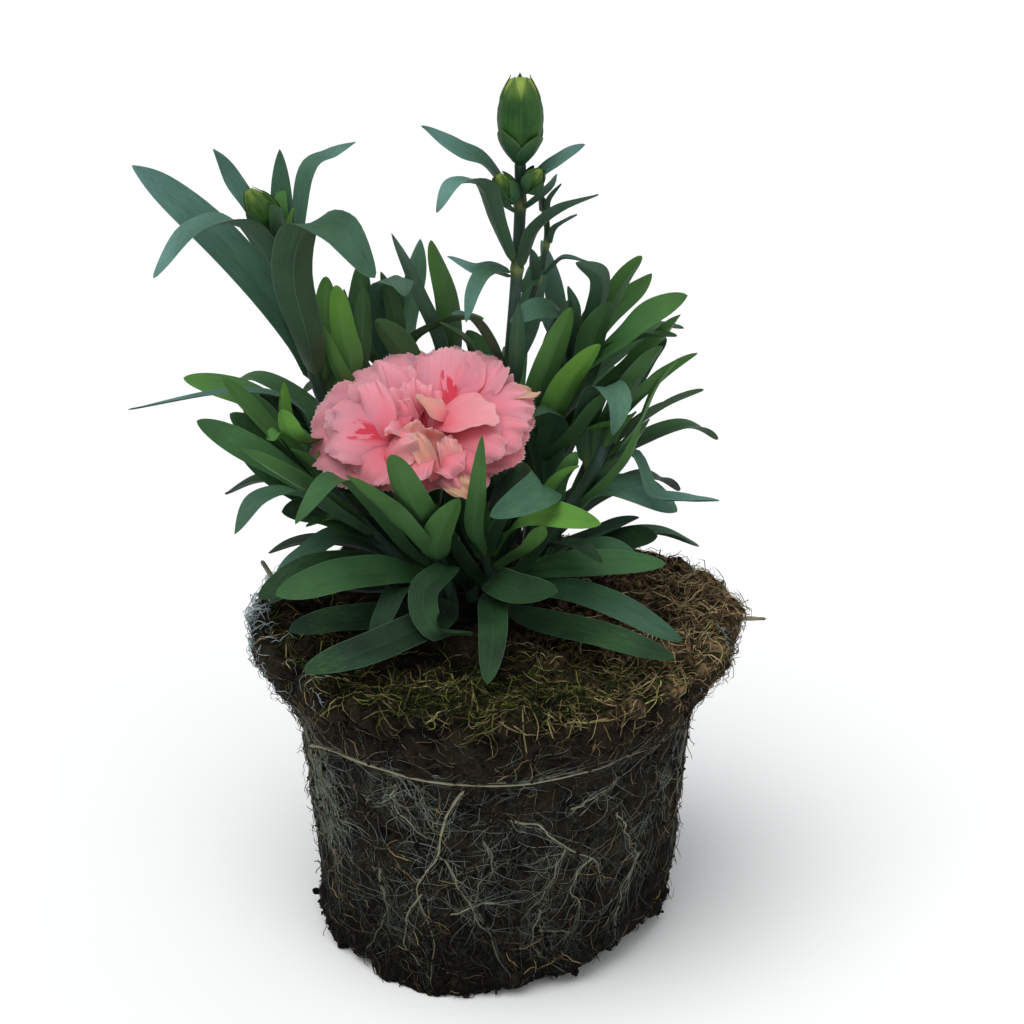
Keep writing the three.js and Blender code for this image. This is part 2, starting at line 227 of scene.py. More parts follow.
@dataclass
class Stock:
    """A closed tube of one unit, which is copied and bent into leaves, petals, stems and roots.

    across runs from -1 to 1 from edge to edge, layer from -1 on the under side to 1 on the
    upper side, and share from 0 at the foot to 1 at the tip. rings holds the share of each
    ring. A keen tube keeps the edge between its two sides sharp.
    """

    around: int
    along: int
    tip: Tip = Tip.POINT
    wrapped: bool = False
    keen: bool = False
    across: np.ndarray = field(init=False)
    layer: np.ndarray = field(init=False)
    round_x: np.ndarray = field(init=False)
    share: np.ndarray = field(init=False)
    ring: np.ndarray = field(init=False)
    rings: np.ndarray = field(init=False)
    under: np.ndarray = field(init=False)
    seed: bpy.types.Mesh = field(init=False)

    def __post_init__(self) -> None:
        """Makes the tube and reads its places."""
        bm = self._tube()
        self._unwrap(bm)
        self.round_x, self.layer, self.share = np.array([vertex.co for vertex in bm.verts]).T
        self.across = 2 * np.arccos(np.clip(self.round_x, -1, 1)) / math.pi - 1
        self.ring = np.rint(self.share * self.along).astype(int)
        self.rings = np.linspace(0, 1, self.along + 1)
        self.seed = mesh_of(bm)
        self.under = np.array([face.center.y < 0 for face in self.seed.polygons], np.int32)

    def _tube(self) -> bmesh.types.BMesh:
        """A unit tube along +Z, closed at both ends, with its faces pointing out."""
        bm = bmesh.new()
        bmesh.ops.create_circle(bm, cap_ends=False, radius=1.0, segments=self.around)
        foot = bm.verts[:]
        edges = bm.edges[:]
        for _ in range(self.along):
            grown = bmesh.ops.extrude_edge_only(bm, edges=edges)["geom"]
            ring = [part for part in grown if isinstance(part, bmesh.types.BMVert)]
            lines = [part for part in grown if isinstance(part, bmesh.types.BMEdge)]
            edges = [line for line in lines if set(line.verts) <= set(ring)]
            bmesh.ops.translate(bm, vec=(0.0, 0.0, 1.0 / self.along), verts=ring)
        bmesh.ops.pointmerge(bm, verts=foot, merge_co=(0.0, 0.0, 0.0))
        if self.tip is Tip.POINT:
            bmesh.ops.pointmerge(bm, verts=ring, merge_co=(0.0, 0.0, 1.0))
        else:
            bmesh.ops.scale(bm, vec=(1.0, 0.0, 1.0), verts=ring)
            bmesh.ops.remove_doubles(bm, verts=ring, dist=1e-5)
        bmesh.ops.recalc_face_normals(bm, faces=bm.faces[:])
        if self.keen:
            for edge in bm.edges:
                sides = [face.calc_center_median().y > 0 for face in edge.link_faces]
                edge.smooth = len(set(sides)) == 1
        return bm

    def _unwrap(self, bm: bmesh.types.BMesh) -> None:
        """Gives the tube a UV map: across and share, or the angle round it and share."""
        layer = bm.loops.layers.uv.new(UV_NAME)
        for face in bm.faces:
            middle = face.calc_center_median()
            facing = math.atan2(middle.y, middle.x)
            for loop in face.loops:
                x, y, z = loop.vert.co
                if not self.wrapped:
                    u = math.acos(max(-1.0, min(1.0, x))) / math.pi
                elif math.hypot(x, y) < 0.5:
                    u = facing / math.tau + 0.5
                else:
                    step = (math.atan2(y, x) - facing + math.pi) % math.tau - math.pi
                    u = (facing + step) / math.tau + 0.5
                loop[layer].uv = (u, z)

    def bent(self, places: np.ndarray, marks: dict[str, np.ndarray]) -> bpy.types.Mesh:
        """One mesh that holds a bent copy for each row of places.

        Args:
            places: the places in mm, as copies by vertices by 3.
            marks: values for each named attribute, as copies, or copies by vertices.

        Returns:
            The mesh, in metres, smooth, with upper faces in slot 0 and under faces in slot 1.
        """
        bm = bmesh.new()
        bm.from_mesh(self.seed)
        repeat(bm, len(places))
        mesh = mesh_of(bm)
        mesh.polygons.foreach_set("material_index", np.tile(self.under, len(places)))
        return shape(mesh, places, marks)

    def along_lines(
        self, lines: np.ndarray, outward: np.ndarray, radius: np.ndarray, flat: float = 1.0
    ) -> np.ndarray:
        """Bends one copy along each line.

        Args:
            lines: the middle lines in mm, as copies by rings by 3.
            outward: a direction that isn't along the line, one for all or one for each ring.
            radius: the radius in mm, as copies by rings, or with 1 for either.
            flat: the thickness along outward, as a share of the width.

        Returns:
            The places, as copies by vertices by 3.
        """
        heading = unit(np.gradient(lines, axis=1))
        outward = outward - heading * np.sum(outward * heading, axis=-1, keepdims=True)
        upper = unit(outward)
        side = np.cross(upper, heading)
        radius = np.broadcast_to(radius, lines.shape[:2])[:, self.ring]
        across = (self.round_x * radius)[..., None]
        up = (self.layer * radius * flat)[..., None]
        return lines[:, self.ring] + side[:, self.ring] * across + upper[:, self.ring] * up


# ---- Shader tools ----------------------------------------------------------------------
class Value:
    """A number that varies over a surface. Arithmetic on it adds Math nodes."""

    def __init__(self, paint: "Paint", socket: bpy.types.NodeSocket) -> None:
        """Wraps an output socket of a node.

        Args:
            paint: the material that holds the node.
            socket: the output socket.
        """
        self.paint = paint
        self.socket = socket

    def _math(self, operation: str, *values: "Number") -> "Value":
        """The result of a Math node."""
        node = self.paint.node("ShaderNodeMath", {"operation": operation}, dict(enumerate(values)))
        return Value(self.paint, node.outputs[0])

    def __add__(self, other: "Number") -> "Value":
        """The sum."""
        return self._math("ADD", self, other)

    __radd__ = __add__

    def __sub__(self, other: "Number") -> "Value":
        """The difference."""
        return self._math("SUBTRACT", self, other)

    def __rsub__(self, other: "Number") -> "Value":
        """The difference, the other way round."""
        return self._math("SUBTRACT", other, self)

    def __mul__(self, other: "Number") -> "Value":
        """The product."""
        return self._math("MULTIPLY", self, other)

    __rmul__ = __mul__

    def __abs__(self) -> "Value":
        """The value without its sign."""
        return self._math("ABSOLUTE", self)

    def most(self, other: "Number") -> "Value":
        """The larger of the two."""
        return self._math("MAXIMUM", self, other)

    def step(self, low: float, high: float) -> "Value":
        """A smooth step: 0 at low and 1 at high, or the other way where high is the smaller."""
        inputs = {"Value": self, "From Min": min(low, high), "From Max": max(low, high)}
        inputs |= {"To Min": float(low > high), "To Max": float(low <= high)}
        node = self.paint.node("ShaderNodeMapRange", {"interpolation_type": "SMOOTHSTEP"}, inputs)
        return Value(self.paint, node.outputs["Result"])


Number = Value | float


class Paint:
    """A node-based material as it is put together."""

    def __init__(self, name: str) -> None:
        """Starts an empty material.

        Args:
            name: the material's name.
        """
        self.material = bpy.data.materials.new(name)
        self.material.use_nodes = True
        self.tree = self.material.node_tree
        self.tree.nodes.clear()

    def node(self, kind: str, settings: dict = {}, inputs: dict = {}) -> bpy.types.Node:
        """Adds a node.

        Args:
            kind: the node's type.
            settings: the node's own properties, which are set first.
            inputs: values, or what is linked, for its sockets by name or number.

        Returns:
            The node.
        """
        node = self.tree.nodes.new(kind)
        for key, value in settings.items():
            setattr(node, key, value)
        for key, value in inputs.items():
            source = value.socket if isinstance(value, Value) else value
            if isinstance(source, bpy.types.NodeSocket):
                self.tree.links.new(source, node.inputs[key])
            elif isinstance(source, tuple) and len(node.inputs[key].default_value) == 4:
                node.inputs[key].default_value = (*source, 1.0)
            else:
                node.inputs[key].default_value = source
        return node

    def skin(self, name: str) -> Value:
        """The X or Y of the UV map as a number."""
        coordinates = self.node("ShaderNodeTexCoord").outputs["UV"]
        return Value(self, self.node("ShaderNodeSeparateXYZ", {}, {0: coordinates}).outputs[name])

    def mark(self, name: str) -> Value:
        """A number kept on the mesh."""
        node = self.node("ShaderNodeAttribute", {"attribute_name": name})
        return Value(self, node.outputs["Fac"])

    def noise(
        self, scale: float, detail: float = 3.0, stretch: Row = (1.0, 1.0, 1.0),
        on: str = "Object",
    ) -> Value:
        """Cloudy noise from 0 to 1.

        Args:
            scale: how fine it is.
            detail: how many finer layers it has.
            stretch: what its coordinates are multiplied by.
            on: the coordinates that it follows: Object, in metres, or UV.

        Returns:
            The noise.
        """
        coordinates = self.node("ShaderNodeTexCoord").outputs[on]
        place = self.node("ShaderNodeMapping", {}, {"Vector": coordinates, "Scale": stretch})
        inputs = {"Vector": place.outputs[0], "Scale": scale, "Detail": detail}
        return Value(self, self.node("ShaderNodeTexNoise", {}, inputs).outputs[0])

    def streaks(self, across: float, along: float, detail: float, scale: float = 1.0) -> Value:
        """Noise on the UV map, with its own fineness across and along."""
        return self.noise(scale, detail, (across, along, 1.0), "UV")

    def mix(self, share: Number, first: object, second: object) -> bpy.types.NodeSocket:
        """A colour between two colours."""
        inputs = {0: share, 6: first, 7: second}
        return self.node("ShaderNodeMix", {"data_type": "RGBA"}, inputs).outputs[2]

    def shaded(self, colour: object, amount: Value) -> bpy.types.NodeSocket:
        """A colour times a number."""
        grey = self.node("ShaderNodeCombineColor", {}, dict.fromkeys(range(3), amount))
        settings = {"data_type": "RGBA", "blend_type": "MULTIPLY"}
        inputs = {0: 1.0, 6: colour, 7: grey.outputs[0]}
        return self.node("ShaderNodeMix", settings, inputs).outputs[2]

    def done(
        self, colour: object, roughness: Number, height: Value, relief: float,
        gloss: float = 0.5, **constants: object,
    ) -> bpy.types.Material:
        """Puts the surface together.

        Args:
            colour: the base colour.
            roughness: the roughness.
            height: what the bump follows.
            relief: the bump's depth in mm.
            gloss: the level of specular reflection.
            constants: other sockets of the shader, with underscores for spaces.

        Returns:
            The material.
        """
        bump = self.node("ShaderNodeBump", {}, {"Height": height, "Distance": relief * METRES})
        inputs = {"Base Color": colour, "Roughness": roughness, "Normal": bump.outputs[0]}
        inputs |= {key.replace("_", " "): value for key, value in constants.items()}
        inputs["Specular IOR Level"] = gloss
        shader = self.node("ShaderNodeBsdfPrincipled", {}, inputs)
        self.node("ShaderNodeOutputMaterial", {}, {"Surface": shader.outputs[0]})
        return self.material


# ---- Finishes --------------------------------------------------------------------------
@dataclass(frozen=True)
class LeafFinish:
    """A waxy leaf: parallel veins, a middle crease, a pale margin and a bloom worn off in patches, which
    thins towards the foot as painted shade.
    """

    name: str
    dark: Colour = (0.0050, 0.0135, 0.0060)
    full: Colour = (0.0370, 0.1140, 0.0380)
    young: Colour = (0.1000, 0.2500, 0.0350)
    bloom: Colour = (0.1290, 0.2620, 0.2320)
    margin: Colour = (0.1000, 0.1900, 0.1150)
    foot: Colour = (0.0850, 0.1450, 0.0450)
    worn: Colour = (0.0650, 0.0700, 0.0350)
    keel: float = 0.10
    relief: float = 0.16
    gloss: float = 0.16

    def build(self) -> bpy.types.Material:
        """The material, which reads the marks bloom, youth and shade."""
        paint = Paint(self.name)
        across = abs(paint.skin("X") - 0.5)
        share = paint.skin("Y")
        cloud = paint.noise(110.0, 4.0)
        vein = paint.streaks(120.0, 1.4, 2.0)
        fleck = paint.streaks(9.0, 5.0, 5.0, 3.0)
        speck = paint.noise(900.0)
        broad = paint.noise(42.0, 2.0)
        colour = paint.mix(paint.mark("shade") + (cloud - 0.5) * 0.8, self.dark, self.full)
        youth = paint.mark("youth") * (0.3 + share.step(0.15, 0.85) * 0.75)
        colour = paint.mix(youth * (0.7 + cloud * 0.6), colour, self.young)
        mottle = (broad * 0.7 + fleck * 0.5).step(0.6, 0.86) * share.step(0.2, 0.9)
        colour = paint.mix(mottle * 0.35, colour, self.young)
        bloom_wear_and_shade = fleck.step(0.34, 0.64) * 0.25 + broad.step(0.34, 0.62) * 0.4 + 0.4
        # Painted shade: the bloom thins towards the foot, where the leaves lie deep in the clump.
        bloom_wear_and_shade = bloom_wear_and_shade * (0.3 + share.step(0.25, 0.8) * 0.7)
        colour = paint.mix(paint.mark("bloom") * bloom_wear_and_shade, colour, self.bloom)
        colour = paint.shaded(colour, 0.66 + vein * 0.26 + fleck * 0.14 + broad * 0.3)
        colour = paint.mix(across.step(0.03, 0.0) * self.keel, colour, self.margin)
        colour = paint.mix(across.step(0.47, 0.5) * 0.45, colour, self.margin)
        colour = paint.mix(share.step(0.10, 0.0) * 0.45, colour, self.foot)
        colour = paint.mix(speck.step(0.68, 0.76) * 0.4, colour, self.worn)
        colour = paint.mix(share.step(0.97, 1.0) * (0.35 + speck * 0.4), colour, self.worn)
        roughness = 0.40 + bloom_wear_and_shade * 0.14 + cloud * 0.1
        height = vein * 0.5 + fleck * 0.6 + cloud * 0.8
        return paint.done(colour, roughness, height, self.relief, self.gloss)


@dataclass(frozen=True)
class StemFinish:
    """A smooth green stem with a blue bloom, pale at its joints."""

    name: str = "stem_skin"
    green: Colour = (0.016, 0.042, 0.022)
    bloom: Colour = (0.040, 0.078, 0.062)
    joint: Colour = (0.150, 0.190, 0.055)
    relief: float = 0.1
    gloss: float = 0.3

    def build(self) -> bpy.types.Material:
        """The material, which reads the mark joint."""
        paint = Paint(self.name)
        cloud = paint.noise(260.0, 4.0, (1.0, 1.0, 0.35))
        streak = paint.streaks(40.0, 2.0, 2.0)
        colour = paint.mix(cloud.step(0.35, 0.7), self.green, self.bloom)
        colour = paint.mix(paint.mark("joint"), colour, self.joint)
        colour = paint.shaded(colour, 0.8 + streak * 0.4)
        return paint.done(colour, 0.45 + cloud * 0.15, streak, self.relief, self.gloss)


@dataclass(frozen=True)
class BudFinish:
    """A green calyx with fine lengthwise streaks, yellow-green tips and blue-green scales."""

    name: str = "bud_skin"
    deep: Colour = (0.011, 0.044, 0.009)
    green: Colour = (0.036, 0.114, 0.021)
    tip: Colour = (0.235, 0.330, 0.060)
    scale: Colour = (0.027, 0.080, 0.038)
    edge: Colour = (0.110, 0.190, 0.110)
    relief: float = 0.15
    gloss: float = 0.16

    def build(self) -> bpy.types.Material:
        """The material, which reads the marks tip and scale."""
        paint = Paint(self.name)
        streak = paint.streaks(48.0, 1.2, 3.0)
        cloud = paint.noise(240.0, 4.0)
        colour = paint.mix((streak * 0.5 + cloud * 0.6).step(0.32, 0.78), self.deep, self.green)
        colour = paint.mix(paint.mark("scale") * (0.55 + cloud * 0.5), colour, self.scale)
        colour = paint.mix(paint.mark("tip") * (0.5 + cloud * 0.8), colour, self.tip)
        edge = abs(paint.skin("X") - 0.5).step(0.45, 0.5) * paint.skin("Y").step(0.05, 0.2)
        colour = paint.mix(edge * paint.mark("scale") * 0.7, colour, self.edge)
        height = streak * 0.8 + cloud * 0.4
        return paint.done(colour, 0.48 + cloud * 0.14, height, self.relief, self.gloss)


@dataclass(frozen=True)
class PetalFinish:
    """Thin petal tissue: fanned veins, a paler toothed margin and a red throat that also paints the shade
    where the petals overlap at their feet.
    """

    name: str
    blade: Colour
    margin: Colour
    # The throat's own red, which also paints the shade where the petals overlap at their feet.
    throat: Colour
    cream: Colour = (0.62, 0.34, 0.19)
    rim: Colour = (0.93, 0.56, 0.52)
    coral: Colour = (0.72, 0.035, 0.070)
    # The colour of the shade painted on the low petals at the front and the right.
    deep: Colour = (0.80, 0.125, 0.150)
    blotch: float = 1.0
    relief: float = 0.16
    gloss: float = 0.25
    glow: Row = (1.0, 0.3, 0.25)

    def build(self) -> bpy.types.Material:
        """The material, which reads the marks deep, cream and blotch; deep is painted shade."""
        paint = Paint(self.name)
        across, share = paint.skin("X"), paint.skin("Y")
        cloud = paint.noise(130.0, 4.0)
        vein = paint.streaks(46.0, 1.6, 3.0)
        patch = paint.streaks(7.0, 3.5, 3.0, 1.4)
        colour = paint.mix(share.step(0.45, 1.0) * (0.5 + cloud * 0.7), self.blade, self.margin)
        # Painted shade: deep darkens the petals that sit low at the front and the right.
        colour = paint.mix(paint.mark("deep") * (0.6 + cloud * 0.8), colour, self.deep)
        # The throat: the petal's own red towards its foot, which also stands for the shade where the
        # petals overlap.
        throat = (share + (vein - 0.5) * 0.22 + (cloud - 0.5) * 0.2).step(0.58, 0.26)
        colour = paint.mix(throat * 0.8, colour, self.throat)
        blot = (patch * 0.9 + vein * 0.2 + paint.mark("blotch") * 0.32 - share).step(0.42, 0.47)
        middle = abs(across - 0.5).step(0.22, 0.1)
        colour = paint.mix(blot * middle * self.blotch, colour, self.coral)
        colour = paint.mix(paint.mark("cream"), colour, self.cream)
        colour = paint.mix(share.step(0.96, 1.0) * 0.6, colour, self.rim)
        colour = paint.shaded(colour, 0.84 + vein * 0.16 + cloud * 0.12)
        height = vein * 0.7 + cloud * 0.5
        return paint.done(colour, 0.62 + cloud * 0.1, height, self.relief, self.gloss,
                          Subsurface_Weight=0.5, Subsurface_Radius=self.glow,
                          Subsurface_Scale=0.003, Sheen_Weight=0.1)


@dataclass(frozen=True)
class PeatFinish:
    """Peat: near black in its hollows as painted shade, brown on its crumbs, and netted with root hairs.
    """

    name: str = "peat"
    # The colour of the shade painted into the peat's hollows.
    hollow: Colour = (0.0022, 0.0019, 0.0015)
    crumb: Colour = (0.0175, 0.0118, 0.0072)
    warm: Colour = (0.2000, 0.1300, 0.0680)
    grey: Colour = (0.0180, 0.0185, 0.0130)
    hair: Colour = (0.0600, 0.0720, 0.0600)
    relief: float = 0.8
    gloss: float = 0.08

    @staticmethod
    def _hairs(paint: Paint, scale: float, width: float) -> Value:
        """Fine lines where a noise crosses its middle value, broken up by a coarser noise."""
        line = abs(paint.noise(scale, 2.0, (1.0, 1.0, 0.6)) - 0.5).step(width, 0.0)
        return line * paint.noise(scale * 0.45, 2.0).step(0.46, 0.56)

    def build(self) -> bpy.types.Material:
        """The material, which reads the marks height, dry and net; height paints shade into the hollows.
        """
        paint = Paint(self.name)
        broad = paint.noise(60.0, 4.0)
        grain = paint.noise(800.0, 5.0)
        fibre = paint.noise(900.0, 4.0, (1.0, 1.0, 0.22))
        # Painted light and shade: the relief makes the raised crumbs light and the hollows near black.
        painted_light = (paint.mark("height") * 0.9 + grain * 0.6).step(0.30, 1.15)
        colour = paint.mix(painted_light, self.hollow, self.crumb)
        colour = paint.mix(broad.step(0.5, 0.68) * painted_light * 0.7, colour, self.grey)
        dry = paint.mark("dry") * fibre.step(0.38, 0.62)
        colour = paint.mix(dry * (0.25 + painted_light * 0.75), colour, self.warm)
        hairs = self._hairs(paint, 150.0, 0.020).most(self._hairs(paint, 330.0, 0.034) * 0.8)
        hairs = hairs.most(self._hairs(paint, 620.0, 0.05) * 0.5) * paint.mark("net")
        colour = paint.mix(hairs * (0.35 + broad * 0.5), colour, self.hair)
        height = grain * 0.8 + fibre * 0.8 + hairs * 0.6
        return paint.done(colour, 1.0 - grain * 0.1, height, self.relief, self.gloss)


@dataclass(frozen=True)
class StrandFinish:
    """Roots, fibres and moss: two colours that a mark mixes, with streaks along the strand."""

    name: str
    first: Colour
    second: Colour
    tip: Colour
    relief: float = 0.1
    gloss: float = 0.06

    def build(self) -> bpy.types.Material:
        """The material, which reads the mark tone."""
        paint = Paint(self.name)
        share = paint.skin("Y")
        cloud = paint.noise(420.0)
        streak = paint.streaks(6.0, 9.0, 3.0)
        colour = paint.mix(paint.mark("tone") + (cloud - 0.5) * 0.5, self.first, self.second)
        colour = paint.mix(share.step(0.7, 1.0) * 0.7, colour, self.tip)
        colour = paint.shaded(colour, 0.6 + streak * 0.8)
        return paint.done(colour, 0.78 + cloud * 0.1, streak, self.relief, self.gloss)


# ---- Stems -----------------------------------------------------------------------------
@dataclass(frozen=True)
class Stem:
    """One stem: its radius, the points of its middle line and the heights of its joints."""

    radius: float
    line: tuple[Row, ...]
    joints: tuple[float, ...] = ()

    def at_height(self, height: float) -> tuple[np.ndarray, np.ndarray]:
        """The middle line's place and direction at a height; every stem rises all the way."""
        spine = Spine(self.line)
        low, high = 0.0, 1.0
        for _ in range(HALVINGS):
            middle = (low + high) / 2
            if spine.at(np.array([middle]))[0, 2] < height:
                low = middle
            else:
                high = middle
        share = np.array([low])
        return spine.at(share)[0], spine.heading(share)[0]


SOIL_TOP = 76.0
FOOT = SOIL_TOP + 0.3
STEMS = {
    "main_stem": Stem(1.3, ((0, 10, FOOT), (0, 10.5, 86), (2, 13, 112), (5, 15, 148),
                            (6, 15, 167), (6, 14, 176.4)), (167.4, 152.6, 129, 113, 103)),
    "side_stem": Stem(0.7, ((6.2, 16.2, 140.5), (9, 18.6, 146), (11.4, 20.5, 154),
                            (12, 20.6, 160), (11, 20, 167)), (163.4, 156.6, 149)),
    "flower_stem": Stem(1.4, ((-5, 7, FOOT), (-5.4, 7, 82), (-11, 5.6, 90), (-15, 2.9, 97.4))),
    "left_shoot": Stem(1.4, ((-13, 8, FOOT), (-13.6, 8.2, 82), (-25, 10, 102), (-33, 10, 114),
                             (-38, 9, 124), (-41, 7.6, 136), (-43, 6.4, 148), (-45, 5.6, 158),
                             (-45.6, 5.2, 163))),
    "left_low_shoot": Stem(1.2, ((-14, 1, FOOT), (-15, 1, 81), (-25, -4, 95), (-33, -6, 105),
                                 (-38, -7, 113))),
    "front_left_shoot": Stem(1.2, ((-9, -4, FOOT), (-9.2, -4.4, 81), (-11, -8, 90),
                                   (-12, -10, 96))),
    "front_shoot": Stem(1.2, ((1, -3, FOOT), (0.8, -3.4, 81), (-1, -7, 90), (-2, -9, 97))),
    "right_shoot": Stem(1.3, ((8, 5, FOOT), (8.5, 5, 82), (15, 5, 96), (22, 5, 108),
                              (26, 5, 117))),
    "back_right_shoot": Stem(1.3, ((7, 15, FOOT), (7.5, 15.2, 84), (12, 17, 110), (17, 19, 126),
                                   (20, 20, 135))),
    "back_left_shoot": Stem(1.3, ((-8, 16, FOOT), (-8.6, 16.4, 84), (-16, 20, 108),
                                  (-20, 22, 126))),
}


# ---- Leaves ----------------------------------------------------------------------------
class Age(Enum):
    """How old a leaf is, as its bloom, youth and shade."""

    GLAUCOUS = (0.95, 0.0, 0.6)
    SILVER = (0.46, 0.05, 0.5)
    DULL = (0.22, 0.0, 0.45)
    YOUNG = (0.0, 0.9, 0.9)
    FRESH = (0.03, 0.38, 0.85)
    FULL = (0.06, 0.12, 0.66)
    DARK = (0.03, 0.02, 0.26)
    OLD = (0.05, 0.0, 0.13)


GLAUCOUS, SILVER, DULL, YOUNG, FRESH, FULL, DARK, OLD = Age


@dataclass(frozen=True)
class Leaf:
    """One leaf. through runs from its first bend to its tip.

    out is the compass angle at which it leaves the stem, and twist how far its right-hand
    edge is lifted at its foot and at its tip.
    """

    at: float
    width: float
    through: tuple[Row, ...]
    age: Age = FULL
    out: float | None = None
    twist: tuple[float, float] = (0.0, 0.0)
    fold: float = 0.44


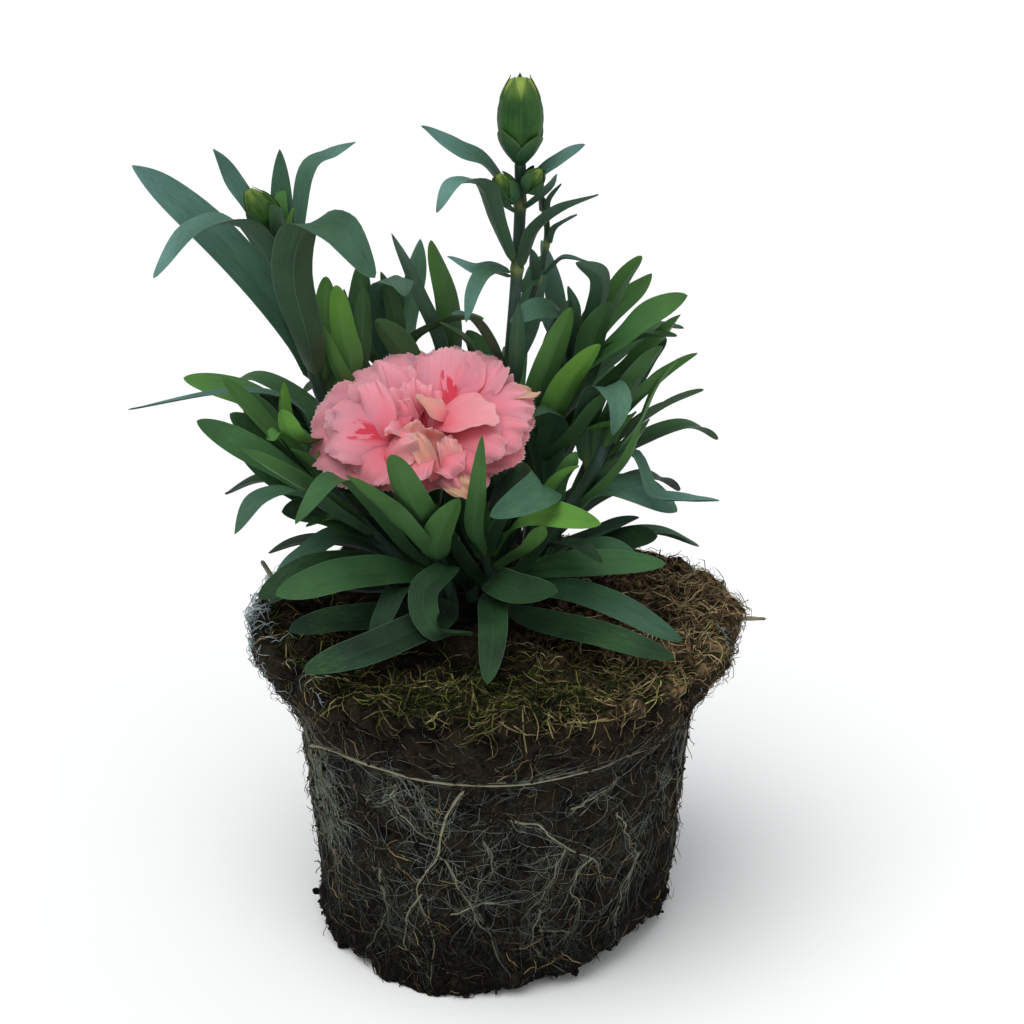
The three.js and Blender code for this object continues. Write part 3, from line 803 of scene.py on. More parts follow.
# For each stem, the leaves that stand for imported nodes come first, in the nodes' order.
PACKED_LEAVES = {
    "left_shoot": 6, "left_low_shoot": 7, "front_left_shoot": 7, "front_shoot": 9,
    "right_shoot": 4, "back_right_shoot": 3, "back_left_shoot": 0, "main_stem": 4,
    "side_stem": 0, "flower_stem": 0,
}
LEAVES = {
    "left_shoot": [
        Leaf(128, 9.2, ((-45, 10.5, 140), (-57, 7, 158), (-69, 1, 173), (-76, -3, 181)), GLAUCOUS, 130),
        Leaf(130, 9.4, ((-40, -4, 143), (-42, -9, 158), (-38.5, -15, 170.5), (-30, -24, 171.5), (-24, -30,
             164)), DULL, -90, (0, -30)),
        Leaf(146, 8.4, ((-48, -2, 160), (-54, -7, 169), (-62, -15, 169.5), (-70, -23, 162)), GLAUCOUS,
             -120),
        Leaf(158, 5.0, ((-45.5, 9.4, 168), (-46, 10, 181)), SILVER, 90),
        Leaf(155, 5.6, ((-50, 8, 164), (-56, 9, 173), (-60, 6, 182)), GLAUCOUS, 140),
        Leaf(152, 4.8, ((-42, 13, 166), (-40, 16, 175), (-35, 18, 177.5), (-30, 20, 180)), GLAUCOUS, 60),
        Leaf(118, 6.6, ((-46, 6, 121), (-57, 8, 126), (-69, 10, 129)), FRESH, None, (30, 50)),
        Leaf(119, 4.0, ((-45, 2, 121), (-46, 1, 131)), YOUNG, -110),
        Leaf(116, 5.4, ((-42, -12, 122), (-45, -14, 130)), YOUNG, -100),
        Leaf(128, 5.4, ((-37, 8, 140), (-36.7, 8, 153)), FRESH, -80),
        Leaf(122, 6.2, ((-31.5, 8, 132), (-33, 8, 141), (-34.5, 8, 151)), YOUNG, -80),
        Leaf(120, 5.0, ((-30, 10, 132), (-28.4, 10, 150)), FULL, -80),
        Leaf(124, 5.4, ((-33, 12, 134), (-30, 15, 145), (-29, 16, 154)), FULL, -80),
        Leaf(112, 6.4, ((-32, 8, 115.5), (-35, 10, 123), (-40, 12, 130.5)), FULL, -100),
        Leaf(108, 6.8, ((-26, 10, 112), (-27, 12, 121.3), (-31, 14, 129.7)), DARK, -90),
        Leaf(138, 5.0, ((-46, 13, 146), (-52, 20, 156), (-56, 25, 159)), SILVER, 120),
        Leaf(124, 6.4, ((-38, 20, 130), (-42, 32, 138), (-46, 40, 138)), FULL, 105),
        Leaf(112, 7.0, ((-40, 20, 116), (-54, 28, 122), (-62, 32, 119)), FULL, 150),
        Leaf(104, 7.0, ((-34, 22, 108), (-46, 34, 112), (-54, 40, 106)), DARK, 135),
        Leaf(94, 7.6, ((-26, 22, 96), (-38, 36, 98), (-46, 43, 92)), DARK, 130),
        Leaf(98, 6.6, ((-36, 14, 99), (-52, 18, 101), (-62, 20, 97)), DARK, 165),
    ],
    "left_low_shoot": [
        Leaf(112, 3.4, ((-43, 3, 124), (-56, 0, 129), (-79, -10, 128.5)), GLAUCOUS),
        Leaf(111, 7.2, ((-45, -6, 117), (-52, -9, 127), (-58, -11, 136)), FRESH, twist=(0, 40)),
        Leaf(107, 7.8, ((-43, -13, 113), (-52, -16, 121), (-63, -18, 129)), FULL, twist=(20, 60)),
        Leaf(101, 7.2, ((-35, -17, 109), (-44, -23, 118), (-53, -27, 126)), FRESH, -110),
        Leaf(98, 8.0, ((-37, -1, 102), (-49, -2, 110), (-58, -3, 120)), FULL, twist=(20, 40)),
        Leaf(97, 6.4, ((-34, -20, 108), (-41, -28, 116), (-49, -35, 117), (-54, -38, 111)), SILVER, -110),
        Leaf(91, 5.6, ((-34, -2, 95.5), (-42, -6, 92.5), (-48, -9, 90)), SILVER, twist=(20, 40)),
        Leaf(110, 5.0, ((-42, -9, 117), (-46, -10, 122.5), (-49, -11, 122)), FRESH, -120),
        Leaf(104, 8.4, ((-40, -4, 108), (-49, -6, 118), (-57, -8, 127)), FULL, twist=(20, 50)),
        Leaf(109, 8.0, ((-43, 0, 113), (-50, -2, 122), (-55, -4, 130)), FULL, twist=(20, 50)),
        Leaf(100, 8.0, ((-34, -4, 104), (-42, -8, 112), (-50, -12, 119)), FULL, twist=(20, 50)),
        Leaf(106, 7.6, ((-40, 4, 112), (-46, 4, 121), (-51, 4, 128)), DARK, None, (20, 50)),
        Leaf(95, 8.0, ((-30, -8, 100), (-38, -10, 104), (-46, -14, 106)), DARK, twist=(20, 50)),
        Leaf(98, 4.2, ((-34, -10, 103), (-41, -12, 102)), FULL, -150),
        Leaf(86, 6.8, ((-28, 6, 89), (-42, 10, 89), (-52, 13, 85)), OLD, 165),
        Leaf(83, 7.0, ((-26, -2, 82), (-40, -3, 83), (-51, -5, 80)), OLD, 180),
    ],
    "front_left_shoot": [
        Leaf(90, 7.2, ((-20, -12, 97), (-27, -22, 111), (-33, -31, 120), (-41, -40, 114)), FULL, -130),
        Leaf(93, 6.4, ((-16, -26, 104), (-22, -32, 114), (-30, -40, 125)), FRESH, -110),
        Leaf(85, 8.6, ((-26, -8, 90), (-40, -14, 92), (-51, -20, 88)), DARK, twist=(20, 35)),
        Leaf(88, 8.4, ((-22, -20, 94), (-34, -29, 97), (-46, -35, 96)), FULL, twist=(20, 50)),
        Leaf(80, 7.6, ((-22, -16, 82), (-35, -23, 84), (-44, -28, 84)), OLD, twist=(20, 30)),
        Leaf(82, 8.0, ((-13, -25, 85), (-26, -36, 83), (-40, -43, 82)), OLD, twist=(20, 45)),
        Leaf(95, 7.4, ((-13, -21, 104), (-17, -33, 117), (-21, -39, 129)), FRESH, -90),
        Leaf(86, 5.4, ((-19, -20, 91), (-23, -27, 87.5), (-26, -31, 82)), OLD, -110),
        Leaf(92, 6.6, ((-10, -20, 95), (-15, -25, 92), (-13, -31, 87), (-4, -34, 86.5)), DARK, -120, (0,
             40)),
        Leaf(94, 7.0, ((-12, -21, 99), (-11, -28, 107), (-7.5, -33, 117)), FRESH, -80),
        Leaf(95, 6.0, ((-14, -13, 100), (-16, -19, 110), (-18, -26, 116)), DARK, -95),
        Leaf(86, 6.0, ((-14, -10, 92), (-16, -15, 104), (-20, -20, 112)), DARK, -110),
    ],
    "front_shoot": [
        Leaf(88, 7.6, ((1, -20, 92), (7, -27, 93), (14, -32, 95)), DARK, twist=(-30, -50)),
        Leaf(84, 6.6, ((0, -20, 87), (0, -34, 86), (-1, -46, 80)), DARK),
        Leaf(79.5, 6.8, ((10, -14, 80), (24, -27, 82), (39, -37, 82)), DARK, twist=(-20, -40)),
        Leaf(83, 6.4, ((12, -10, 86), (26, -20, 87), (41, -30, 83)), DULL, twist=(-20, -50)),
        Leaf(86, 6.4, ((12, -7, 90), (24, -10, 92), (38, -14, 94)), FULL, twist=(-30, -60)),
        Leaf(90, 6.2, ((5, -13, 95), (9, -21, 101), (10, -28, 108.5)), FRESH, -60),
        Leaf(93, 7.4, ((4, -12, 101), (10, -21, 108), (23, -33, 111)), YOUNG, twist=(0, -60)),
        Leaf(95, 4.4, ((-4, -22, 105), (-3, -31, 117), (-2, -38, 133)), FRESH, -90),
        Leaf(96, 9.8, ((1, -6, 105), (7, -13, 112.5), (10.4, -24, 115), (-0.4, -33, 112.6)), DULL, -120,
             (0, 60)),
        Leaf(90, 5.0, ((3, -8, 95), (5, -12, 103), (6, -16, 110)), DARK, -50),
        Leaf(84, 6.4, ((-6, -8, 90), (-10, -13, 99), (-12, -17, 107)), DARK, -120),
        Leaf(82, 6.6, ((6, -8, 88), (11, -11, 97), (14, -15, 104)), DARK, -50),
        Leaf(92, 5.2, ((-6, -8, 98), (-8, -12, 106), (-9, -14, 112)), DARK, -110),
        Leaf(94, 4.6, ((1, -14, 100), (3, -20, 108), (4, -25, 114)), DARK, -70),
        Leaf(87, 6.0, ((3, -1, 96), (1, -1, 106), (-1, -2, 114)), DARK, -80),
    ],
    "right_shoot": [
        Leaf(100, 3.6, ((21, -6, 106), (28, -12, 116), (32, -15, 127)), FRESH, -60),
        Leaf(114, 7.6, ((29, 13, 122), (34, 18, 130), (39, 20, 135)), FULL, 60),
        Leaf(111, 5.2, ((31, 1, 114), (35, -8, 108), (42, -14, 109), (49, -19, 111)), GLAUCOUS, -20),
        Leaf(96, 8.0, ((23, 4, 103), (32, 1, 105), (41, -5, 103)), SILVER, twist=(-10, -40)),
        Leaf(88, 7.6, ((12, 8, 103), (13, 8, 112), (14, 6, 121), (11, 2, 125), (9, -2, 124)), SILVER, 60),
        Leaf(90, 4.4, ((12, -4, 105), (15, -6, 111), (19, -6, 114)), YOUNG, -60),
        Leaf(98, 4.0, ((15, 2, 107), (17, 0, 112), (18.6, 0, 115)), FRESH, -90),
        Leaf(88, 6.5, ((11, 7, 98), (9, 8, 109), (7.5, 8, 118)), DARK, -90),
        Leaf(115, 3.0, ((30, 10, 121), (35, 10, 126), (41, 8, 134)), FULL, 20),
        Leaf(86, 6.2, ((16, 8, 88), (24, 8, 92), (33, 6, 97)), DULL, 10),
        Leaf(88, 5.0, ((12, -4, 94), (18, -14, 98), (24, -18, 96)), DARK, -60),
        Leaf(84, 6.4, ((16, 0, 88), (24, -6, 94), (33, -10, 92)), DULL, -30, (0, -40)),
        Leaf(82, 7.0, ((20, 8, 85), (30, 5, 91), (37, 2, 94)), DARK, 0, (0, -50)),
        Leaf(109, 7.4, ((21, 3, 120), (24, -2, 130), (27, -6, 129), (26, -9, 122)), SILVER, -70),
        Leaf(108, 7.4, ((26, 5, 118), (31, 1, 131), (36.5, -4, 141)), FULL, -60),
        Leaf(112, 3.0, ((32, 3, 120), (36, 1, 130), (40.3, -2, 137)), FRESH, 0),
        Leaf(94, 6.0, ((22, 9, 101), (30, 8, 112), (35, 5, 121)), FULL, -50),
        Leaf(104, 7.0, ((27, 12, 112), (38, 12, 121), (47, 10, 126)), FULL, -40),
        Leaf(100, 6.8, ((24, 10, 110), (29, 10, 122), (33, 8, 131)), FULL, -60),
        Leaf(108, 6.6, ((28, 10, 118), (38, 9, 129), (45, 6, 136)), FRESH, -50),
        Leaf(104, 6.8, ((30, 16, 109), (44, 24, 112), (52, 29, 107)), FULL, 30),
        Leaf(92, 7.4, ((22, 18, 95), (36, 30, 97), (44, 37, 91)), DARK, 40),
        Leaf(86, 7.0, ((20, 12, 86), (36, 18, 88), (48, 22, 83)), DULL, 25),
    ],
    "back_right_shoot": [
        Leaf(130, 5.6, ((26, 27, 138), (31, 29, 143), (36, 30, 147)), FRESH, 60, (-40, -80)),
        Leaf(126, 7.2, ((26, 13, 134), (34, 11, 142), (43, 9, 148)), FRESH, 0, (0, -50)),
        Leaf(133, 5.6, ((23, 16, 142), (24, 13, 151), (18, 8, 156)), GLAUCOUS, -60),
        Leaf(134, 3.0, ((23, 26, 138), (27, 28, 143)), FRESH, 50),
        Leaf(110, 7.0, ((12, 8, 118), (16, 3, 129), (23.5, -3, 141)), YOUNG, -80),
        Leaf(108, 6.4, ((9, 12, 118), (12, 9, 132), (16.9, 8, 146)), FRESH, -90),
        Leaf(132, 5.6, ((15, 15, 141), (9, 12, 144), (3.5, 10, 142)), SILVER, -140, (20, 60)),
        Leaf(130, 5.6, ((24, 20, 138), (28, 19, 147), (33, 17, 155)), FRESH, -70),
        Leaf(126, 6.4, ((24, 16, 132), (33, 14, 137), (41, 12, 138)), FULL, -50),
        Leaf(116, 6.8, ((20, 14, 126), (22, 11, 138), (26, 8, 147)), FULL, -80),
        Leaf(118, 6.4, ((26, 18, 124), (35, 17, 133), (42, 15, 142)), FRESH, -60),
        Leaf(128, 3.4, ((17, 15, 136), (18, 14, 143), (16.4, 14, 149)), SILVER, -100),
        Leaf(104, 6.6, ((14, 8, 110), (20, 2, 120), (26, -2, 130)), FULL, -60),
        Leaf(122, 4.9, ((12, 12, 130), (13, 12, 137), (17, 14, 146)), SILVER, -120),
        Leaf(124, 5.6, ((14, 27, 134), (10, 29, 136), (3, 28, 130)), GLAUCOUS, 120),
        Leaf(112, 5.4, ((18, 12, 119), (25, 9, 126), (31, 6, 132)), FULL, -30),
        Leaf(106, 6.0, ((17, 10, 112), (23, 4, 119), (30, 0, 122)), FRESH, -50),
        Leaf(108, 7.0, ((20, 28, 114), (28, 38, 120), (34, 45, 116)), FULL, 60),
        Leaf(120, 6.0, ((26, 26, 126), (36, 32, 133), (44, 36, 132)), FULL, 40),
        Leaf(98, 7.4, ((14, 30, 101), (18, 42, 104), (21, 49, 97)), DARK, 75),
        Leaf(90, 7.6, ((18, 26, 92), (28, 38, 93), (34, 45, 87)), OLD, 50),
        Leaf(127, 5.0, ((15, 30, 134), (13, 37, 143), (11, 40, 152)), SILVER, 110),
        Leaf(86, 7.0, ((10, 28, 86), (12, 42, 87), (13, 50, 82)), OLD, 85),
    ],
    "back_left_shoot": [
        Leaf(116, 6.2, ((-10, 21, 128), (-10, 22, 143), (-13.7, 23, 157)), FRESH, -60),
        Leaf(114, 3.6, ((-11, 18, 131), (-16.7, 17, 147), (-22.5, 16, 160.5)), GLAUCOUS, -70),
        Leaf(121, 4.4, ((-21, 16, 133), (-22, 15, 143), (-25, 15, 152)), FULL, -90),
        Leaf(116, 8.6, ((-24, 21, 132), (-24, 19, 144), (-23, 15, 150), (-20, 10, 152), (-19, 6, 149)),
             GLAUCOUS, 90),
        Leaf(120, 6.2, ((-18, 18, 134), (-10, 16, 140), (-2, 15, 141)), FULL, -40),
        Leaf(114, 7.0, ((-17, 14, 124), (-20, 11, 135), (-26, 8, 143)), FULL, -90),
        Leaf(119, 4.4, ((-25, 17, 128), (-29, 14, 135), (-29, 15, 147)), FULL, -110),
        Leaf(112, 4.6, ((-25, 13, 122), (-32, 10, 137), (-33, 12, 149)), FULL, -100),
        Leaf(108, 4.6, ((-24, 12, 116), (-33, 6, 130), (-37, 4, 143)), FRESH, -100),
        Leaf(121, 6.4, ((-28, 31, 128), (-36, 38, 136), (-42, 42, 138)), FULL, 130),
        Leaf(124, 5.4, ((-20, 32, 133), (-18, 38, 144), (-17, 41, 152)), SILVER, 85),
        Leaf(108, 7.2, ((-18, 32, 112), (-16, 42, 117), (-14, 48, 113)), FULL, 85),
        Leaf(110, 6.8, ((-28, 28, 115), (-38, 36, 119), (-45, 42, 114)), FULL, 140),
        Leaf(97, 7.6, ((-20, 28, 101), (-28, 40, 103), (-32, 47, 96)), DARK, 115),
        Leaf(92, 7.2, ((-6, 30, 95), (-4, 42, 97), (-2, 49, 91)), DARK, 85),
        Leaf(90, 7.5, ((-20, 9, 93), (-27, 4, 98), (-34, -1, 102)), DARK, -150),
        Leaf(88, 7.6, ((-20, 26, 88), (-32, 38, 90), (-40, 44, 85)), OLD, 130),
        Leaf(85, 7.0, ((-12, 30, 85), (-18, 44, 85), (-20, 50, 81)), OLD, 105),
    ],
    "main_stem": [
        Leaf(168, 6.2, ((-1.7, 12, 177), (-8.1, 10, 180.6), (-15.3, 8, 186.7)), GLAUCOUS, twist=(20, 40)),
        Leaf(154, 5.8, ((1, 9, 164), (-2, 5, 174), (-8, -1, 176), (-12, -5, 171)), GLAUCOUS, -120),
        Leaf(153, 5.0, ((9, 11, 162), (15, 8, 168), (23, 6, 172)), GLAUCOUS, -60),
        Leaf(151, 3.8, ((-1, 8, 154), (-4, 4, 151), (-6, 0, 145)), GLAUCOUS, None, (10, 40)),
        Leaf(170, 4.6, ((10, 13, 174), (15, 12, 178), (20, 10, 182)), GLAUCOUS, -20, (-20, -50)),
        Leaf(152, 3.6, ((0, 11, 154), (-4, 9, 154), (-10, 8, 157.5)), GLAUCOUS, 200, (20, 50)),
        Leaf(147, 4.0, ((9, 19, 149), (12, 22, 153)), SILVER, 60),
        Leaf(166, 3.2, ((2, 10, 169), (0, 8, 173)), GLAUCOUS, 220),
        Leaf(167, 3.4, ((9, 11, 169), (12.5, 9, 172.5), (14, 8, 176)), GLAUCOUS, -50),
        Leaf(128, 5.6, ((8, 22, 136), (10, 30, 146), (11, 35, 150)), SILVER, 70),
        Leaf(130, 5.2, ((-1, 10, 137), (-5, 6, 144), (-9, 2, 146)), SILVER, 220),
        Leaf(112, 6.4, ((4, 22, 118), (5, 33, 126), (4, 40, 126)), FULL, 88),
        Leaf(114, 6.4, ((1, 10, 121), (-2, 16, 130), (-6, 19, 137)), FULL, -95),
        Leaf(104, 6.4, ((-8, 12, 110), (-16, 9, 118), (-22, 8, 121)), FULL, 190),
        Leaf(104, 6.4, ((10, 12, 109), (18, 11, 116), (24, 10, 118)), FRESH, 0),
        Leaf(94, 6.6, ((2, 22, 97), (2, 36, 102), (1, 43, 98)), DARK, 90),
        Leaf(122, 3.6, ((5, 10, 130), (5.3, 9, 139), (5.7, 9, 147)), SILVER, -90),
        Leaf(120, 4.6, ((-1, 14, 128), (-6, 14, 136), (-12, 13, 141)), FULL, 180),
    ],
    "side_stem": [
        Leaf(157, 3.2, ((14, 19, 161), (18.6, 17, 164.5)), GLAUCOUS, -30),
        Leaf(150, 2.8, ((13, 18, 152), (15.5, 17, 154.5), (21, 16, 154)), GLAUCOUS, -20),
        Leaf(148, 2.8, ((9.2, 17, 152.5), (8.3, 16, 157)), GLAUCOUS, 250),
        Leaf(163, 2.6, ((12.5, 19.2, 167), (15, 18.6, 171)), SILVER, -30),
        Leaf(164, 2.4, ((10.2, 20.4, 168), (8.6, 20.6, 171.5)), SILVER, 180),
    ],
    "flower_stem": [
        Leaf(93, 5.0, ((-14, -2, 99), (-17, -8, 106), (-19, -13, 109)), DARK, -110),
        Leaf(79, 6.6, ((-8, 0, 84), (-11, -5, 93), (-9, -9, 101)), DARK, -110),
        Leaf(80, 6.4, ((-1, 2, 85), (3, -3, 94), (6, -8, 101)), DARK, -60),
        Leaf(93, 5.0, ((-12, 12, 98), (-14, 18, 106), (-16, 22, 108)), FULL, 100),
        Leaf(88, 8.0, ((-20, 9, 94), (-31, 10, 100), (-42, 9, 105)), DARK, 170, (40, 50)),
        Leaf(84, 8.0, ((-17, 7, 88), (-29, 7, 96.5), (-39, 6, 100)), DARK, 170, (40, 50)),
    ],
}


@dataclass
class Foliage:
    """All the leaves, as one piece for each stem.

    heart holds the lengths and spreads of the young leaves at a shoot's tip. Narrow leaves
    are pointed, and so are the bloomed ones, apart from silver ones from broad on. pointed and
    blunt are the powers of the two outlines.
    """

    thickness: float = 0.42
    stand_off: float = 0.4
    base_share: float = 0.42
    widest_at: float = 0.5
    narrow: float = 5.0
    broad: float = 7.8
    pointed: tuple[float, float] = (2.1, 0.78)
    blunt: tuple[float, float] = (2.9, 0.62)
    crowding: float = 1.35
    clasp: float = 1.25
    clasp_length: float = 0.05
    crease: float = 0.14
    crease_width: float = 0.16
    heart: tuple[tuple[float, float], ...] = ((13, 4.5), (12, 4.0), (9, 2.2), (8, 1.8))
    seed: int = 7
    stock: Stock = field(default_factory=lambda: Stock(16, 26, keen=True))

    def _heart(self, stem: Stem) -> list[Leaf]:
        """The young leaves, in crossed pairs, that wrap the growing tip of a shoot."""
        top = stem.line[-1][2]
        leaves = []
        for n, (length, spread) in enumerate(self.heart):
            pair = n // 2
            height = top - 2.6 + 1.2 * pair
            centre, heading = stem.at_height(height)
            turn = math.radians(80 + 180 * n + 90 * pair)
            out = np.array([math.cos(turn), math.sin(turn), 0.0])
            rows = [centre + heading * length * part + out * (1.6 + spread * part * part)
                    for part in (0.35, 0.7, 1.0)]
            leaves.append(Leaf(height, 3.6 - 0.5 * pair, tuple(map(tuple, rows)),
                               YOUNG if pair else FRESH, math.degrees(turn), fold=0.7))
        return leaves

    def _half_width(self, share: np.ndarray, leaf: Leaf) -> np.ndarray:
        """Half of a leaf's width at shares of its length, in mm."""
        rise = np.sin(math.pi / 2 * np.clip(share / self.widest_at, 0, 1))
        fall = np.clip((share - self.widest_at) / (1 - self.widest_at), 0, 1)
        fullness = self.base_share + (1 - self.base_share) * rise
        bloomed = leaf.age is GLAUCOUS or (leaf.age is SILVER and leaf.width < self.broad)
        power, root = self.pointed if bloomed or leaf.width < self.narrow else self.blunt
        taper = (1 - fall**power) ** root
        return leaf.width / 2 * np.where(share < self.widest_at, fullness, taper)

    def _bend(self, leaf: Leaf, stem: Stem, random: np.random.Generator) -> np.ndarray:
        """Bends a leaf from its stem to its tip.

        Args:
            leaf: the leaf.
            stem: the stem that carries it.
            random: where the small waves come from.

        Returns:
            The places of its vertices, in mm.
        """
        stock = self.stock
        share = 1 - (1 - stock.share) ** self.crowding
        centre, heading = stem.at_height(leaf.at)
        away = np.array(leaf.through[0]) - centre
        away = unit(away - heading * (away @ heading))
        foot = centre + away * (stem.radius + self.stand_off)
        spine = Spine([foot, *leaf.through])
        reach = np.array(leaf.through[-1]) - foot
        compass = math.atan2(reach[1], reach[0]) if leaf.out is None else math.radians(leaf.out)
        along = spine.heading(share)
        level = np.array([math.sin(compass), -math.cos(compass), 0.0])
        side = unit(level - along * (along @ level)[:, None])
        side = turned_about(side, along, -(leaf.twist[0] + (leaf.twist[1] - leaf.twist[0]) * share))
        upper = np.cross(side, along)

        half = self._half_width(share, leaf)
        arc = leaf.fold + (self.clasp - leaf.fold) * np.exp(-share / self.clasp_length)
        sideways = half / arc * np.sin(arc * stock.across)
        lift = half / arc * (1 - np.cos(arc * stock.across))
        crease = 1 - np.exp(-np.abs(stock.across) / self.crease_width)
        lift += self.crease * half * crease * ease(0.0, 0.15, share)
        phase = random.uniform(0, math.tau, 3)
        size = leaf.width * random.uniform(0.014, 0.040)
        wave = np.sin(share * random.uniform(7, 12) + phase[0]) * stock.across
        wave += 0.5 * np.sin(share * random.uniform(15, 24) + phase[1]) * stock.across**2
        lift += size * wave * ease(0.05, 0.3, share)
        lift += stock.layer * self.thickness * (1 - 0.55 * share**3)
        sway = size * 1.5 * np.sin(share * 6 + phase[2]) * ease(0.1, 0.5, share)
        return spine.at(share) + side * (sideways + sway)[:, None] + upper * lift[:, None]

    def build(self) -> None:
        """Makes a piece of leaves for each stem."""
        skins = [
            LeafFinish("leaf_upper_side").build(),
            LeafFinish("leaf_under_side", full=(0.034, 0.088, 0.036), bloom=(0.072, 0.135, 0.098),
                       keel=0.3).build(),
        ]
        random = np.random.default_rng(self.seed)
        for name, rows in LEAVES.items():
            leaves = rows + (self._heart(STEMS[name]) if name.endswith("_shoot") else [])
            places = np.array([self._bend(leaf, STEMS[name], random) for leaf in leaves])
            looks = np.array([leaf.age.value for leaf in leaves])
            looks = np.clip(looks * random.uniform(0.8, 1.25, looks.shape), 0, 1)
            marks = {"bloom": looks[:, 0], "youth": looks[:, 1], "shade": looks[:, 2]}
            nodes = [f"{name}_leaf_{n + 1}" for n in range(PACKED_LEAVES[name])]
            finish_piece(f"{name}_leaves", self.stock.bent(places, marks), skins, nodes)


@dataclass
class Stalks:
    """The stems, each swollen and pale at the joints that carry its leaves."""

    swelling: float = 0.22
    joint_length: float = 1.15
    buried: float = 3.0
    reach: float = 1.6
    side_foot: Row = (4.6, 14.8, 137.0)
    stock: Stock = field(default_factory=lambda: Stock(16, 90, wrapped=True))

    def _line(self, name: str, stem: Stem) -> np.ndarray:
        """A stem's middle line, which starts inside what carries it and ends in its bud."""
        spine = Spine(stem.line)
        line = spine.at(np.linspace(0, 1, self.stock.along - 1))
        top = line[-1] + spine.heading(np.ones(1))[0] * self.reach
        foot = self.side_foot if name == "side_stem" else line[0] - [0, 0, self.buried]
        return np.vstack([foot, line, top])

    def build(self) -> None:
        """Makes a piece for each stem."""
        skin = StemFinish().build()
        for name, stem in STEMS.items():
            line = self._line(name, stem)
            share = self.stock.rings
            joints = np.zeros_like(share)
            for height in stem.joints:
                gap = (line[:, 2] - height) / self.joint_length
                joints = np.maximum(joints, np.exp(-gap * gap))
            radius = stem.radius * (1.06 - 0.08 * share) * (1 + self.swelling * joints)
            places = self.stock.along_lines(line[None], np.array([1.0, 0.0, 0.0]), radius)
            mesh = self.stock.bent(places, {"joint": joints[None, self.stock.ring] * 0.85})
            finish_piece(f"{name}_stalk", mesh, [skin], [name])


# ---- Buds ------------------------------------------------------------------------------
@dataclass(frozen=True)
class Bud:
    """A closed bud. outline gives its radius at shares of its length."""

    node: str
    seat: Row
    heading: Row
    length: float
    radius: float
    outline: tuple[tuple[float, float], ...]
    scale_length: float
    scale_width: float
    tooth_foot: float
    flare: float

    def reach(self, share: np.ndarray) -> np.ndarray:
        """The radius at shares of the length, in mm."""
        shares, radii = np.array(self.outline).T
        return np.interp(share, shares, radii) * self.radius

    def around(self, angle: np.ndarray, share: np.ndarray, reach: np.ndarray) -> np.ndarray:
        """Places round the bud's middle line.

        Args:
            angle: the angles, in radians.
            share: how far up each lies, as shares of the length.
            reach: how far each lies from the middle line, in mm.

        Returns:
            The places, one row each.
        """
        heading = unit(np.array(self.heading, float))
        side = unit(np.cross([0.0, 1.0, 0.0], heading))
        spread = np.outer(np.cos(angle), side) + np.outer(np.sin(angle), np.cross(heading, side))
        return self.seat + spread * reach[:, None] + np.outer(self.length * share, heading)


MAIN_OUTLINE = ((0, 0.3), (0.05, 0.42), (0.16, 0.62), (0.27, 0.82), (0.4, 0.96), (0.52, 1.0),
                (0.64, 0.97), (0.75, 0.87), (0.85, 0.71), (0.93, 0.55), (1, 0.38))
SMALL_OUTLINE = ((0, 0.4), (0.15, 0.7), (0.35, 0.95), (0.5, 1.0), (0.7, 0.84), (0.85, 0.58),
                 (1, 0.25))
CALYX_OUTLINE = ((0, 0.5), (0.06, 0.66), (0.2, 0.84), (0.5, 1.0), (0.83, 0.97), (1, 0.86))
NOD = math.radians(20)
BUDS = (
    Bud("main_bud", (6, 14, 176.8), (0, 0, 1), 19.0, 5.0, MAIN_OUTLINE, 0.45, 60, 0.6, 0.3),
    Bud("left_side_bud", (4.6, 12.6, 168.5), (-3.4, -3.4, 7), 8.4, 2.4, SMALL_OUTLINE, 1.0, 48,
        0.12, 0.1),
    Bud("right_side_bud", (7.2, 12.4, 171), (3.4, -5, 6.4), 8.0, 2.1, SMALL_OUTLINE, 1.0, 48,
        0.12, 0.1),
    Bud("left_shoot_bud", (-46.2, 3.6, 163.5), (-5, -3, 9.5), 13, 3.4, SMALL_OUTLINE, 0.8, 50,
        0.12, 0.05),
    Bud("flower_calyx", (-15, 2.57, 97.9), (0, -math.sin(NOD), math.cos(NOD)), 23, 4.0,
        CALYX_OUTLINE, 0.34, 60, 0.7, 0.2),
)


